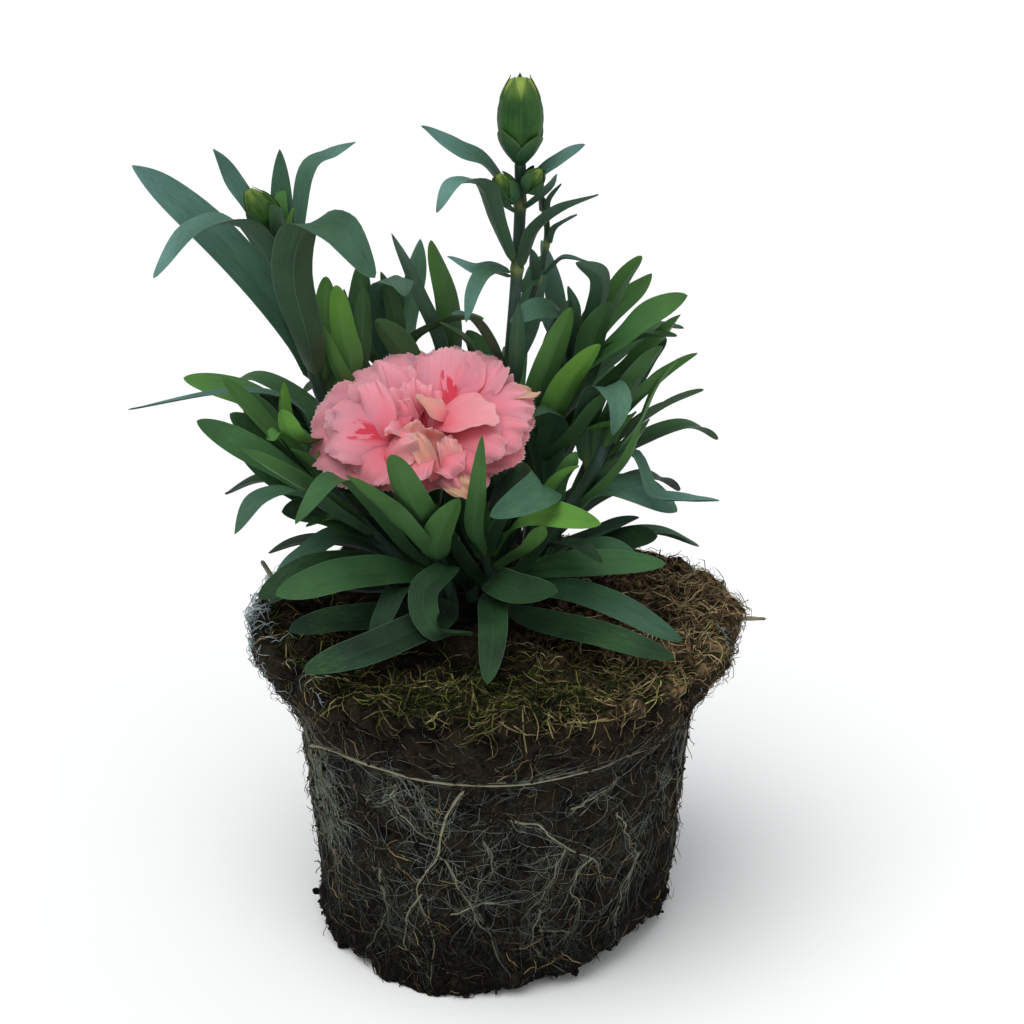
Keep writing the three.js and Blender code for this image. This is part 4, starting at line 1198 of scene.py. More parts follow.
@dataclass
class Buds:
    """The closed buds and the open flower's calyx, each with five teeth and its scales."""

    teeth: int = 5
    tooth_width: float = 38
    scales: int = 4
    ribs: int = 10
    rib_depth: float = 0.02
    thickness: float = 0.2
    keel: float = 0.22
    body: Stock = field(default_factory=lambda: Stock(40, 36, wrapped=True))
    blade: Stock = field(default_factory=lambda: Stock(24, 20, keen=True))

    def _body(self, bud: Bud) -> np.ndarray:
        """The closed calyx tube, with faint ribs."""
        stock = self.body
        angle = np.arctan2(stock.layer, stock.round_x)
        open_ring = np.hypot(stock.layer, stock.round_x) > 0.5
        swell = 1 + self.rib_depth * np.cos(self.ribs * angle)
        reach = np.where(open_ring, bud.reach(stock.share) * swell, 0)
        return bud.around(angle, stock.share, reach)

    def _wrap(
        self, bud: Bud, facing: float, half_angle: float, shares: tuple[float, float],
        gap: float, flare: float,
    ) -> np.ndarray:
        """A pointed blade that hugs the bud and grows out of it.

        Args:
            bud: the bud.
            facing: the way that the blade's middle looks, in degrees round the bud.
            half_angle: half of its width at the foot, in degrees round the bud.
            shares: where it starts and ends, as shares of the bud's length.
            gap: how far its middle stands off the bud, in mm.
            flare: how far its tip stands out, in mm.

        Returns:
            The places of its vertices, in mm.
        """
        stock = self.blade
        share = shares[0] + (shares[1] - shares[0]) * stock.share
        narrow = np.clip(1 - stock.share**2.4, 0, 1) ** 0.9
        angle = math.radians(facing) - np.radians(half_angle) * narrow * stock.across
        off = gap * ease(0.0, 0.35, stock.share) - 0.45 * ease(0.5, 0.0, stock.share)
        off += flare * stock.share**2 + self.thickness * stock.layer * (1 - 0.6 * stock.share)
        off += self.keel * np.exp(-((stock.across / 0.22) ** 2)) * narrow
        return bud.around(angle, share, bud.reach(share) + off)

    def build(self) -> None:
        """Makes a piece for each bud, and the main bud's scales as a piece of their own."""
        skin = BudFinish().build()
        for bud in BUDS:
            yellow = 1.0 if bud.tooth_foot > 0.5 else 0.5
            tip = yellow * ease(0.72, 0.95, self.body.share)[None]
            mesh = self.body.bent(self._body(bud)[None], {"tip": tip, "scale": np.zeros(1)})
            finish_piece(f"{bud.node}_tube", mesh, [skin], [bud.node])
            shares = (bud.tooth_foot, 1.08 if bud.node == "flower_calyx" else 1.03)
            blades = [self._wrap(bud, 360 / self.teeth * n + 20, self.tooth_width, shares, 0.04, 0.3)
                      for n in range(self.teeth)]
            for n in range(self.scales):
                shares = (-0.02, bud.scale_length * (0.86 if n % 2 else 1.0))
                blades.append(self._wrap(bud, 360 / self.scales * n + 45, bud.scale_width, shares,
                                         0.3 + 0.2 * (n % 2), 0.35 + bud.flare))
            scale = np.arange(len(blades)) >= self.teeth
            edge = 0.5 + 0.5 * ease(0.4, 1.0, np.abs(self.blade.across))
            tip = ease(0.35, 1.0, self.blade.share) * edge * np.where(scale, 0.25, 0.8)[:, None]
            marks = {"tip": tip * yellow, "scale": scale}
            nodes = ["bud_scales"] if bud.node == "main_bud" else []
            mesh = self.blade.bent(np.array(blades), marks)
            finish_piece(f"{bud.node}_scales", mesh, [skin], nodes)


# ---- The open flower -------------------------------------------------------------------
@dataclass(frozen=True)
class Petal:
    """One petal, as places right, up and out on the flower's face, in mm.

    foot is where its blade spreads from, and tip where its margin's middle lies. belly is
    how far its middle bulges towards its face, and cup how far its sides come forward: both
    are below 0 on a side that is hollow or falls back. roll turns the tip about its length.
    """

    foot: Row
    tip: Row
    width: float
    belly: float = 1.8
    cup: float = -0.2
    ruffle: float = 0.9
    roll: float = 0.0
    cream: float = 0.0
    blotch: float = 0.0


RINGS = {
    "outer_petals": (
        Petal((-4, 1, 0), (-25.8, -1.6, -1.5), 21, 2.4),
        Petal((-4, 0, 0.5), (-20.5, -7.8, -1.5), 17, 2.2),
        Petal((-4, 3, 0.3), (-24.6, 5.2, -0.6), 17, 2.2),
        Petal((-4, 3, 0), (-20.6, 11.7, -1.5), 20, 2.2),
        Petal((-2, 5, 0), (-10.5, 19.4, -1), 18, 1.6),
        Petal((0, 6, -0.5), (-1.2, 21.6, -1), 9, 1.2),
        Petal((4, 6, -0.5), (9, 20.8, -2), 16, 1.6),
        Petal((6, 6, -0.5), (15.9, 19.2, -1), 13, 1.6),
        Petal((7, 5, 0), (21.6, 12, -1.5), 12, 1.6),
        Petal((7, 3, 0), (24.4, 5.4, -1), 14, 1.8),
        Petal((6, 1, 0.5), (22.4, -1.7, -1.5), 16, 2.0),
        Petal((5, -1, 0.5), (15.6, -7.8, -1.5), 16, 2.0),
        Petal((0, -2, 0), (3, -11, -1), 15, 2.0),
        Petal((-3, -1, 0.5), (-11.5, -9.8, -1), 16, 2.0),
    ),
    "middle_petals": (
        Petal((-6, 0.6, 3.5), (-22.2, 1.6, 3), 16.5, 2.6, -0.3, 0.8, -8, blotch=1.5),
        Petal((-6, -1, 3), (-14.5, -8.3, 2), 14.5, 2.4),
        Petal((-5, 3, 2.5), (-20.8, 8.2, 2), 15, 2.2),
        Petal((-4.5, 4, 2.5), (-14.5, 15.2, 1.8), 14, 1.6, 0.2),
        Petal((-2.5, 6, 2), (-7, 17.3, 2), 10.5, 1.2, 0.2),
        Petal((9, 8, 2), (15.6, 17.8, 1.5), 11, 1.0, 0.3, 1.2),
        Petal((10, 8, 1), (18.6, 14.3, 0.5), 9.5, 1.0, 0.2, 1.0),
        Petal((9, 6, 2.5), (24.7, 8.1, 2), 9.5, 1.6, -0.2, 1.0, 10),
        Petal((15.5, 10.4, 2.6), (25.4, 10.2, 1.6), 5, 0.8, 0.5, 0.6, 30, cream=0.9),
        Petal((8, 2, 2), (22, 1.2, 1.5), 13.5, 2.0, -0.2, 1.0),
        Petal((5.4, 1.5, 4.5), (17.7, -1.4, 4.2), 14, 2.2, -0.2, 1.1),
        Petal((4, -1.5, 4.5), (9, -9.8, 4), 12, 2.2, -0.2, 1.0),
        Petal((2.9, -7.5, 4.5), (11, -12.2, 5), 5.5, 0.8, 0.4, 0.8, cream=0.9),
    ),
    "inner_petals": (
        Petal((5.2, 6.5, 3.2), (6.2, 21.4, 3.4), 15.5, -0.8, 0.3, 0.6, blotch=1.5),
        Petal((-7.3, 0.5, 4.5), (-12.2, 12.8, 6), 7.5, 0.8, 0.4, 0.9, 30),
        Petal((-5, 2, 4.5), (-7.6, 11.8, 6), 9, -0.6, 0.5, 0.8, 12),
        Petal((-1.8, 5, 3), (-2.8, 13.5, 5), 6.5, 0.5, 0.5, 0.8),
        Petal((1, 6, 3), (0.9, 12.4, 5.5), 6, 0.5, 0.5, 0.8, -30),
        Petal((-3, 3, 3), (-4.4, 8.8, 6.5), 6, 0.6, 0.6, 0.8, 40),
        Petal((3.5, 3.6, 5), (16.2, 5.6, 7), 13, 1.4, 0.5, 0.7, 38, cream=0.4),
        Petal((4.6, 4.4, 5.5), (-1.6, 9.6, 8.2), 6.5, 0.8, 0.5, 1.0, -35, cream=0.75),
        Petal((0.6, -7.5, 2.5), (0, 4.2, 9), 15, -1.4, 1.0, 2.2, cream=0.64),
        Petal((-8, -3.6, 4.5), (-0.7, -1.4, 10.6), 10, 1.4, -0.35, 2.1, 8, cream=0.4),
        Petal((6.4, -7, 4.5), (4.6, 0.6, 9.6), 7, 0.8, 0.9, 1.6, -15, cream=0.6),
        Petal((-1.5, -4, 7), (-1.4, -9.0, 8), 9, 1.2, 0.4, 1.2, -20),
        Petal((-4, 1.2, 5), (-8.4, 2.4, 7.8), 6.5, 0.8, 0.4, 0.9, -30),
        Petal((3, -4, 6), (8.4, -7.0, 7.4), 9, 1.2, 0.3, 1.1, 20),
        Petal((0, 0.5, 0.5), (0.5, 9.0, 2.5), 10, 0.8, 0.3, 0.6, blotch=3),
        Petal((2.5, 0, 1), (7.5, 5.0, 3.6), 10, 0.8, 0.3, 0.6, blotch=3),
        Petal((2.8, -8.5, 6.5), (-2.2, 1.2, 10.6), 5, 2.0, 0.7, 1.0, 22, cream=0.8),
    ),
}


@dataclass
class Flower:
    """The open double flower: ruffled petals with toothed margins, in three rings.

    corner is how far a margin falls back at its corners, and claw how wide a petal's foot is,
    both as shares of the petal. The blade opens between the two shares of opening.
    """

    seat: Row = (-15, -5.3, 119.5)
    axes: tuple[Row, Row, Row] = ((1, 0, 0), (0, 0.86, 0.73), (0, -0.93, 0.37))
    face: Row = (0, -0.66, 0.75)
    claw: float = 0.10
    opening: tuple[float, float] = (0.12, 0.74)
    corner: float = 0.27
    thickness: float = 0.16
    tooth_depth: float = 0.042
    teeth: int = 24
    seed: int = 21
    stock: Stock = field(default_factory=lambda: Stock(96, 22, Tip.EDGE, keen=True))

    def _bend(self, petal: Petal, random: np.random.Generator) -> np.ndarray:
        """Bends a petal from the calyx to its margin.

        Args:
            petal: the petal.
            random: where its ruffles and teeth come from.

        Returns:
            The places of its vertices, in mm.
        """
        stock = self.stock
        across, grown = stock.across, stock.share
        seat, frame = np.array(self.seat), np.array(self.axes)
        foot, tip = seat + np.array(petal.foot) @ frame, seat + np.array(petal.tip) @ frame
        out = tip - foot
        level = unit(np.cross(out, self.face))
        bulge = unit(np.cross(level, out)) * petal.belly
        spine = Spine([seat + (foot - seat) * 0.2, foot, foot + 0.36 * out + 0.8 * bulge,
                       foot + 0.72 * out + bulge, tip])
        corners = 2 * self.teeth + 1
        depths = np.arange(corners) % 2 * random.uniform(0.3, 1.0, corners)
        bite = np.interp(across, np.linspace(-1, 1, corners), depths)
        phase = random.uniform(0, math.tau, 6)
        crown = 1 - self.corner * np.abs(across) ** 2.4 * grown
        crown += 0.022 * np.sin(across * 7 + phase[5]) * grown**4
        share = grown * (crown - self.tooth_depth * bite * ease(0.88, 1.0, grown))
        along = spine.heading(share)
        side = unit(level - along * (along @ level)[:, None])
        side = turned_about(side, along, -petal.roll * share)
        upper = np.cross(side, along)

        opened = np.sin(np.interp(grown, self.opening, (0, math.pi / 2)))
        half = petal.width / 2 * (self.claw + (1 - self.claw) * opened**1.25)
        arc = petal.cup
        sideways = half / arc * np.sin(arc * across)
        lift = half / arc * (1 - np.cos(arc * across))
        wave = 0.75 * np.sin(2.2 * across + phase[0]) + 0.7 * np.sin(5.2 * across + phase[1])
        wave += 0.3 * np.sin(4 * grown + 3 * across + phase[3])
        frill = 0.42 * np.sin(10.5 * across + phase[2]) + 0.2 * np.sin(18 * across + phase[5])
        lift += petal.ruffle * (wave * grown**2.4 + frill * ease(0.62, 1.0, grown))
        lift -= 0.7 * ease(0.8, 1.0, grown) * np.sin(2.5 * across + phase[4])
        lift += stock.layer * self.thickness
        return spine.at(share) + side * sideways[:, None] + upper * lift[:, None]

    @staticmethod
    def _painted_shade(petal: Petal) -> float:
        """How much shade is painted into a petal's pink: most on the low ones at the front and the right.
        """
        right, up, out = petal.tip
        return float(np.clip(0.34 + 0.006 * right - 0.036 * up - 0.035 * out, 0, 1))

    def build(self) -> None:
        """Makes a piece for each ring of petals."""
        face = PetalFinish("petal_face", (0.93, 0.205, 0.268), (0.94, 0.340, 0.392),
                           (0.78, 0.075, 0.110)).build()
        back = PetalFinish("petal_back", (0.84, 0.31, 0.32), (0.88, 0.40, 0.40),
                           (0.72, 0.30, 0.22), blotch=0.0).build()
        random = np.random.default_rng(self.seed)
        for name, petals in RINGS.items():
            places = np.array([self._bend(petal, random) for petal in petals])
            cream = np.array([[petal.cream] for petal in petals])
            covered = np.where(self.stock.layer < 0.0, 1.0, cream)
            marks = {
                "cream": cream * covered * ease(0.2, 0.7, self.stock.share),
                "blotch": np.array([petal.blotch for petal in petals]),
                # deep is painted shade, from where each petal's tip lies.
                "deep": np.array([self._painted_shade(petal) for petal in petals]),
            }
            mesh = self.stock.bent(places, marks)
            finish_piece(f"{name}_ruffled", mesh, [face, back], [name])


# ---- Root ball -------------------------------------------------------------------------
@dataclass
class Ball:
    """The root ball's surface, as places by angle and by distance along its outline."""

    outline: tuple[tuple[float, float], ...] = (
        (0, 0), (35, 0), (38.5, 1.6), (40.5, 5), (41.6, 20), (43.2, 38), (44.8, 54), (46.6, 57),
        (48.6, 61), (51.4, 67), (53.6, 71.5), (53.8, 73.6), (51.5, 74.8), (44, 75.2),
        (30, 75.7), (16, 76), (0, 76),
    )
    side_from: int = 2
    side_to: int = 11

    def __post_init__(self) -> None:
        """Measures the outline."""
        self.points = np.array(self.outline, float)
        steps = np.linalg.norm(np.diff(self.points, axis=0), axis=1)
        self.run = np.concatenate([[0], np.cumsum(steps)])
        self.length = self.run[-1]
        edges = unit(np.diff(self.points, axis=0))
        outward = np.stack([edges[:, 1], -edges[:, 0]], axis=1)
        corners = np.vstack([outward[:1], (outward[1:] + outward[:-1]) / 2, outward[-1:]])
        self.outward = unit(corners)

    def at_height(self, height: np.ndarray) -> np.ndarray:
        """How far along the outline a height on the side lies."""
        side = slice(self.side_from, self.side_to + 1)
        return np.interp(height, self.points[side, 1], self.run[side])

    def swell(self, angle: np.ndarray) -> np.ndarray:
        """The slow waves of the ball's round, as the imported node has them."""
        return 1 + 0.010 * np.sin(3 * angle + 0.4) + 0.006 * np.sin(7 * angle + 1.9)

    def place(self, angle: np.ndarray, run: np.ndarray) -> tuple[np.ndarray, np.ndarray]:
        """Places on the smooth surface.

        Args:
            angle: the angles, in radians.
            run: the distances along the outline, in mm.

        Returns:
            The places, and the directions out from the surface.
        """
        radius = np.interp(run, self.run, self.points[:, 0]) * self.swell(angle)
        height = np.interp(run, self.run, self.points[:, 1])
        out = np.interp(run, self.run, self.outward[:, 0])
        up = np.interp(run, self.run, self.outward[:, 1])
        ray = np.stack([np.cos(angle), np.sin(angle), np.zeros_like(angle)], axis=-1)
        normal = unit(ray * out[..., None] + np.array([0, 0, 1.0]) * up[..., None])
        return ray * radius[..., None] + np.array([0, 0, 1.0]) * height[..., None], normal

    @staticmethod
    def damage(angle: np.ndarray, radius: np.ndarray, height: np.ndarray) -> np.ndarray:
        """How far large uneven spots stand out, in mm.

        Args:
            angle: the angles, in radians.
            radius: the distances from the axis, in mm.
            height: the heights, in mm.

        Returns:
            The distances: a slab at the lower front left, a worn corner at the lower right,
            a hollow between them, a mound on the right rim and a ridge on the left one.
        """
        def near(middle: float, width: float) -> np.ndarray:
            """1 at an angle in degrees, and 0 far from it."""
            gap = (angle - math.radians(middle) + math.pi) % math.tau - math.pi
            return np.exp(-((gap / math.radians(width)) ** 2))

        low = 1 - ease(1.5, 6.0, height)
        out = 4.6 * near(-114, 19) * low + 1.6 * near(-160, 12) * (1 - ease(4, 14, height))
        out -= 3.0 * near(-38, 30) * (1 - ease(0, 13, height))
        out += 1.6 * near(60, 25) * low - 1.8 * near(120, 30) * (1 - ease(0, 10, height))
        crest = ease(72, 74.5, height) * ease(36, 46, radius)
        return out + crest * (2.6 * near(12, 30) + 3.4 * near(176, 32))

    def relief(self, places: np.ndarray) -> np.ndarray:
        """How far the peat stands out of the smooth surface at some places, in mm."""
        flat = places.reshape(-1, 3)
        out = np.empty(len(flat))
        for index, row in enumerate(flat):
            spot = Vector(row)
            lump = noise.voronoi(spot / 2.1)[0][0]
            out[index] = (
                0.9 * noise.noise(spot / 12)
                + 1.0 * noise.fractal(spot / 4.6, 0.9, 2.2, 4)
                + 0.55 * (0.4 - lump)
                + 0.35 * noise.noise(spot / 1.1)
            )
        height = flat[:, 2]
        smooth_ring = 1 - 0.6 * np.exp(-(((height - 56) / 2.2) ** 2))
        rough = (1 + 0.8 * ease(60, 70, height)) * smooth_ring * ease(0.0, 2.0, height)
        rough *= 1 + 0.7 * ease(10, 3, height)
        angle, radius = np.arctan2(flat[:, 1], flat[:, 0]), np.hypot(flat[:, 0], flat[:, 1])
        out = out * rough + self.damage(angle, radius, height)
        return out.reshape(places.shape[:-1])

    def rough(self, angle: np.ndarray, run: np.ndarray, off: float) -> tuple[np.ndarray, np.ndarray]:
        """Places that stand off the rough surface, and the directions out from it."""
        smooth, normal = self.place(angle, run)
        places = smooth + normal * (self.relief(smooth) + off)[..., None]
        places[..., 2] = np.maximum(places[..., 2], 0.25)
        return places, normal


BALL = Ball()
STEP_HEIGHT = 57.0
RIM_HEIGHT = 73.6


def dryness(angle: np.ndarray, height: np.ndarray) -> np.ndarray:
    """How dry and brown the peat is: most on the collar and the top at the right."""
    right = ease(0.1, 0.9, np.cos(angle - 0.05))
    return np.clip(right * ease(70.5, 74.5, height) + 0.02, 0, 1)


def dimmed(height: np.ndarray) -> np.ndarray:
    """How pale roots and peat are at a height: darkest towards the bottom."""
    return 0.22 + 0.78 * ease(2, 40, height)


def patchy(places: np.ndarray, size: float) -> np.ndarray:
    """An uneven share for each place, from 0.3 to 1.3, that changes over a few millimetres.

    Args:
        places: the places, one row each.
        size: how wide the patches are, in mm.

    Returns:
        The shares.
    """
    values = np.array([noise.noise(Vector(place) / size) for place in places])
    return 0.3 + ease(-0.35, 0.35, values)


def netting(height: np.ndarray) -> np.ndarray:
    """How thickly root hairs net the peat: most on the side below the collar."""
    upper = 0.2 + 0.8 * ease(60, 54, height) - 0.2 * ease(66, 72, height)
    return upper * dimmed(height)


def strands(
    stock: Stock, lines: np.ndarray, normals: np.ndarray, radius: np.ndarray, tone: np.ndarray,
    flat: float = 1.0, darker_below: bool = False,
) -> bpy.types.Mesh:
    """Bends a copy of a tube into a root, a fibre or a moss stem along each line.

    Args:
        stock: the tube.
        lines: the middle lines in mm, as copies by rings by 3.
        normals: the directions out from the ball, of the same shape.
        radius: the radius in mm, as copies by rings or by 1.
        tone: how far each strand is mixed to its second colour.
        flat: the thickness along the normals, as a share of the width.
        darker_below: True where the strands are darker towards the bottom of the ball.

    Returns:
        The mesh, in metres.
    """
    places = stock.along_lines(lines, normals, radius, flat)
    tone = tone[:, None] * (dimmed(places[..., 2]) if darker_below else 1.0)
    return stock.bent(places, {"tone": tone})


@dataclass
class Peat:
    """The ball of peat, with the crumbs and fibres that stand out of it."""

    turns: int = 360
    step: float = 0.9
    crumbs: int = 1500
    clods: int = 44
    fibres: int = 4300
    seed: int = 5

    def _ball(self) -> bpy.types.Mesh:
        """The rough ball: its outline spun round the axis and pushed in and out."""
        runs = np.linspace(0, BALL.length, int(BALL.length / self.step) + 1)
        bm = bmesh.new()
        kept = bm.verts.layers.float.new("run")
        corners = []
        for run in runs:
            radius, height = (np.interp(run, BALL.run, row) for row in BALL.points.T)
            corners.append(bm.verts.new((radius, 0.0, height)))
            corners[-1][kept] = run
        edges = [bm.edges.new(pair) for pair in zip(corners, corners[1:])]
        bmesh.ops.spin(bm, geom=corners + edges, cent=(0, 0, 0), axis=(0, 0, 1),
                       angle=math.tau, steps=self.turns, use_merge=True)
        bmesh.ops.remove_doubles(bm, verts=bm.verts[:], dist=1e-3)
        bmesh.ops.recalc_face_normals(bm, faces=bm.faces[:])
        angle = np.array([math.atan2(vertex.co.y, vertex.co.x) for vertex in bm.verts])
        smooth, normal = BALL.place(angle, np.array([vertex[kept] for vertex in bm.verts]))
        bm.verts.layers.float.remove(kept)
        relief = BALL.relief(smooth)
        bumps = BALL.damage(angle, np.hypot(smooth[:, 0], smooth[:, 1]), smooth[:, 2])
        moved = smooth + normal * relief[:, None]
        height = np.maximum(moved[:, 2], 0.0)
        # height is the relief, which paints shade into the hollows, darker towards the bottom.
        marks = {
            "height": np.clip(0.5 + (relief - bumps) / 2.8, 0, 1) * dimmed(height),
            "dry": dryness(angle, height) * patchy(smooth, 5.0),
            "net": netting(height),
        }
        return shape(mesh_of(bm), moved, marks, 0.0)

    @staticmethod
    def _lumps(
        rounds: int, angle: np.ndarray, run: np.ndarray, size: np.ndarray,
        random: np.random.Generator,
    ) -> bpy.types.Mesh:
        """Uneven lumps that sit half in the ball's surface.

        Args:
            rounds: how finely each lump is divided.
            angle: where each lies, in radians.
            run: where each lies along the outline, in mm.
            size: the radius of each, in mm.
            random: where their shapes come from.

        Returns:
            The mesh, in metres.
        """
        count = len(angle)
        bm = bmesh.new()
        bmesh.ops.create_icosphere(bm, subdivisions=rounds, radius=1.0)
        ball = np.array([vertex.co for vertex in bm.verts])
        repeat(bm, count)
        centre, _ = BALL.rough(angle, run, 0.1)
        stretch = random.uniform(0.45, 1.5, (count, 1, 3)) * size[:, None, None]
        phase = random.uniform(0, math.tau, (count, 1, 3))
        dents = np.sin(ball[None] * 3.1 + phase).sum(2) * 0.13
        dents += random.uniform(-0.16, 0.16, (count, len(ball)))
        places = centre[:, None] + ball[None] * stretch * (1 + dents)[..., None]
        marks = {
            "height": random.uniform(0.1, 0.6, count),
            "dry": dryness(angle, centre[:, 2]),
        }
        return shape(mesh_of(bm), places, marks)

    def _crumbs(self, random: np.random.Generator) -> bpy.types.Mesh:
        """Small loose crumbs all over the ball."""
        angle = random.uniform(-math.pi, math.pi, self.crumbs)
        run = random.uniform(38, BALL.length - 12, self.crumbs)
        size = random.uniform(0.22, 0.62, self.crumbs)
        return self._lumps(1, angle, run, size, random)

    def _clods(self, random: np.random.Generator) -> bpy.types.Mesh:
        """Larger clods round the lower edge, more of them at the front left."""
        angle = random.uniform(-math.pi, math.pi, self.clods)
        front = random.random(self.clods) < 0.45
        angle[front] = random.normal(math.radians(-112), 0.45, front.sum())
        run = random.uniform(33.5, 44, self.clods)
        size = random.uniform(0.4, 1.1, self.clods)
        return self._lumps(2, angle, run, size, random)

    def _fibres(self, random: np.random.Generator) -> bpy.types.Mesh:
        """Short brown fibres that lie on the peat or stick out of it a little."""
        stock = Stock(3, 5)
        walk = Walk(self.fibres, stock.along, random)
        angle, run = walk.start((36, BALL.length - 14))
        upper = random.random(self.fibres) < 0.42
        run[upper] = random.uniform(BALL.at_height(62), BALL.at_height(73) + 16, upper.sum())
        right = upper & (random.random(self.fibres) < 0.5)
        angle[right] = random.normal(0.0, 0.5, right.sum())
        length = random.uniform(2.0, 8.5, self.fibres)
        lines, normals = walk.lines(angle, run, length, 0.34, 0.15)
        tilt = random.uniform(0, 1.5, self.fibres) ** 2 * np.where(right, 1.4, 1.0)
        lines += normals * np.outer(tilt, stock.rings)[..., None]
        radius = random.uniform(0.05, 0.13, (self.fibres, 1))
        tone = random.uniform(0, 1, self.fibres) ** 2.4 * 0.46
        tone += dryness(angle, lines[:, 0, 2]) * random.uniform(0, 1.3, self.fibres)
        tone *= patchy(lines[:, 0], 5.0) ** 1.7
        return strands(stock, lines, normals, radius, np.clip(tone, 0, 1))

    def build(self) -> None:
        """Makes the ball, its crumbs and its fibres."""
        random = np.random.default_rng(self.seed)
        peat = PeatFinish().build()
        finish_piece("peat_ball", self._ball(), [peat], ["root_ball"])
        finish_piece("peat_crumbs", self._crumbs(random), [peat])
        finish_piece("peat_clods", self._clods(random), [peat])
        fibre = StrandFinish("peat_fibre", (0.006, 0.005, 0.003), (0.530, 0.385, 0.205),
                             (0.16, 0.12, 0.08)).build()
        finish_piece("peat_fibres", self._fibres(random), [fibre])


@dataclass
class Walk:
    """Random winding ways over the ball's surface, which stop at its foot and on its top."""

    count: int
    steps: int
    random: np.random.Generator
    lowest: float = 35.5
    highest: float = BALL.length - 6

    def start(self, runs: tuple[float, float]) -> tuple[np.ndarray, np.ndarray]:
        """Random angles, and random distances along the outline between two."""
        angle = self.random.uniform(-math.pi, math.pi, self.count)
        return angle, self.random.uniform(*runs, self.count)

    def lines(
        self, angle: np.ndarray, run: np.ndarray, length: np.ndarray, wander: float, off: float,
        heading: np.ndarray | None = None,
    ) -> tuple[np.ndarray, np.ndarray]:
        """Walks each way.

        Args:
            angle: where each starts, in radians.
            run: where each starts along the outline, in mm.
            length: how long each is, in mm.
            wander: how much each turns at a step, in radians.
            off: how far each stands off the rough surface, in mm.
            heading: which way each sets out, in radians from straight down; random if None.

        Returns:
            The ways' places and the directions out from the surface, ways by steps by 3.
        """
        if heading is None:
            heading = self.random.uniform(-math.pi, math.pi, self.count)
        angles, runs = [angle], [run]
        for _ in range(self.steps):
            heading = heading + self.random.normal(0, wander, self.count)
            stride = length / self.steps
            radius = np.maximum(np.interp(runs[-1], BALL.run, BALL.points[:, 0]), 4.0)
            angles.append(angles[-1] + stride * np.sin(heading) / radius)
            runs.append(np.clip(runs[-1] - stride * np.cos(heading), self.lowest, self.highest))
        return BALL.rough(np.stack(angles, 1), np.stack(runs, 1), off)


# Thick roots on the ball: their radius, and angle and height from end to end.
THICK_ROOTS = (
    (0.48, ((-156, 52), (-140, 56), (-125, 57), (-105, 57), (-86, 56.4), (-72, 57.3), (-61, 58.4),
            (-48, 58), (-33, 56))),
    (0.36, ((-154, 52), (-155, 43), (-148, 38), (-128, 37))),
    (0.30, ((-153, 34), (-151, 28), (-148, 20), (-149, 10))),
    (0.44, ((-97, 55), (-103, 48), (-105, 38), (-110, 32), (-113, 24), (-108, 14), (-110, 2))),
    (0.34, ((-112, 26), (-119, 14), (-114, 6), (-109, 4))),
    (0.34, ((-104, 36), (-98, 26), (-91, 16), (-83, 2))),
    (0.40, ((-126, 30), (-125, 20), (-129, 12), (-137, 3))),
    (0.26, ((-103, 22), (-92, 25), (-85, 24))),
    (0.34, ((-84, 47), (-76, 44), (-69, 38), (-59, 33), (-54, 24))),
    (0.34, ((-69, 38), (-74, 28), (-82, 20))),
    (0.34, ((-75, 23), (-78, 15), (-74, 9), (-66, 4))),
    (0.24, ((-52, 44), (-45, 34), (-37, 24))),
    (0.30, ((-67, 47), (-58, 50), (-50, 53))),
    (0.24, ((-35, 49), (-30, 44), (-24, 43), (-20, 48))),
    (0.26, ((-76, 17), (-69, 16), (-62, 14))),
    (0.30, ((-118, 53), (-119, 47), (-107, 40))),
    (0.26, ((-111, 54), (-109, 47), (-104, 42))),
    (0.26, ((-129, 47), (-122, 48), (-117, 54))),
    (0.24, ((-40, 30), (-46, 22), (-48, 12), (-44, 5))),
    (0.26, ((-158, 55), (-160, 44), (-157, 32), (-161, 20))),
    (0.24, ((-148, 55), (-150, 46), (-146, 40), (-149, 30))),
    (0.26, ((-92, 42), (-90, 34), (-95, 28), (-93, 18))),
    (0.26, ((-60, 34), (-66, 27), (-62, 20), (-68, 12))),
    (0.34, ((60, 56), (52, 44), (56, 30), (50, 16), (54, 3))),
    (0.40, ((96, 57), (102, 45), (96, 32), (101, 18), (97, 3))),
    (0.30, ((97, 33), (108, 22), (112, 8))),
    (0.38, ((140, 56), (134, 42), (139, 30), (132, 16), (136, 3))),
    (0.30, ((170, 54), (163, 40), (168, 26), (160, 12))),
    (0.34, ((20, 54), (14, 42), (22, 28), (17, 14), (24, 4))),
    (0.28, ((-8, 50), (-14, 38), (-6, 26), (-12, 10))),
    (0.28, ((10, 57), (34, 56), (58, 57.3), (84, 56.3), (110, 57.3), (136, 56.3), (160, 56.6))),
)


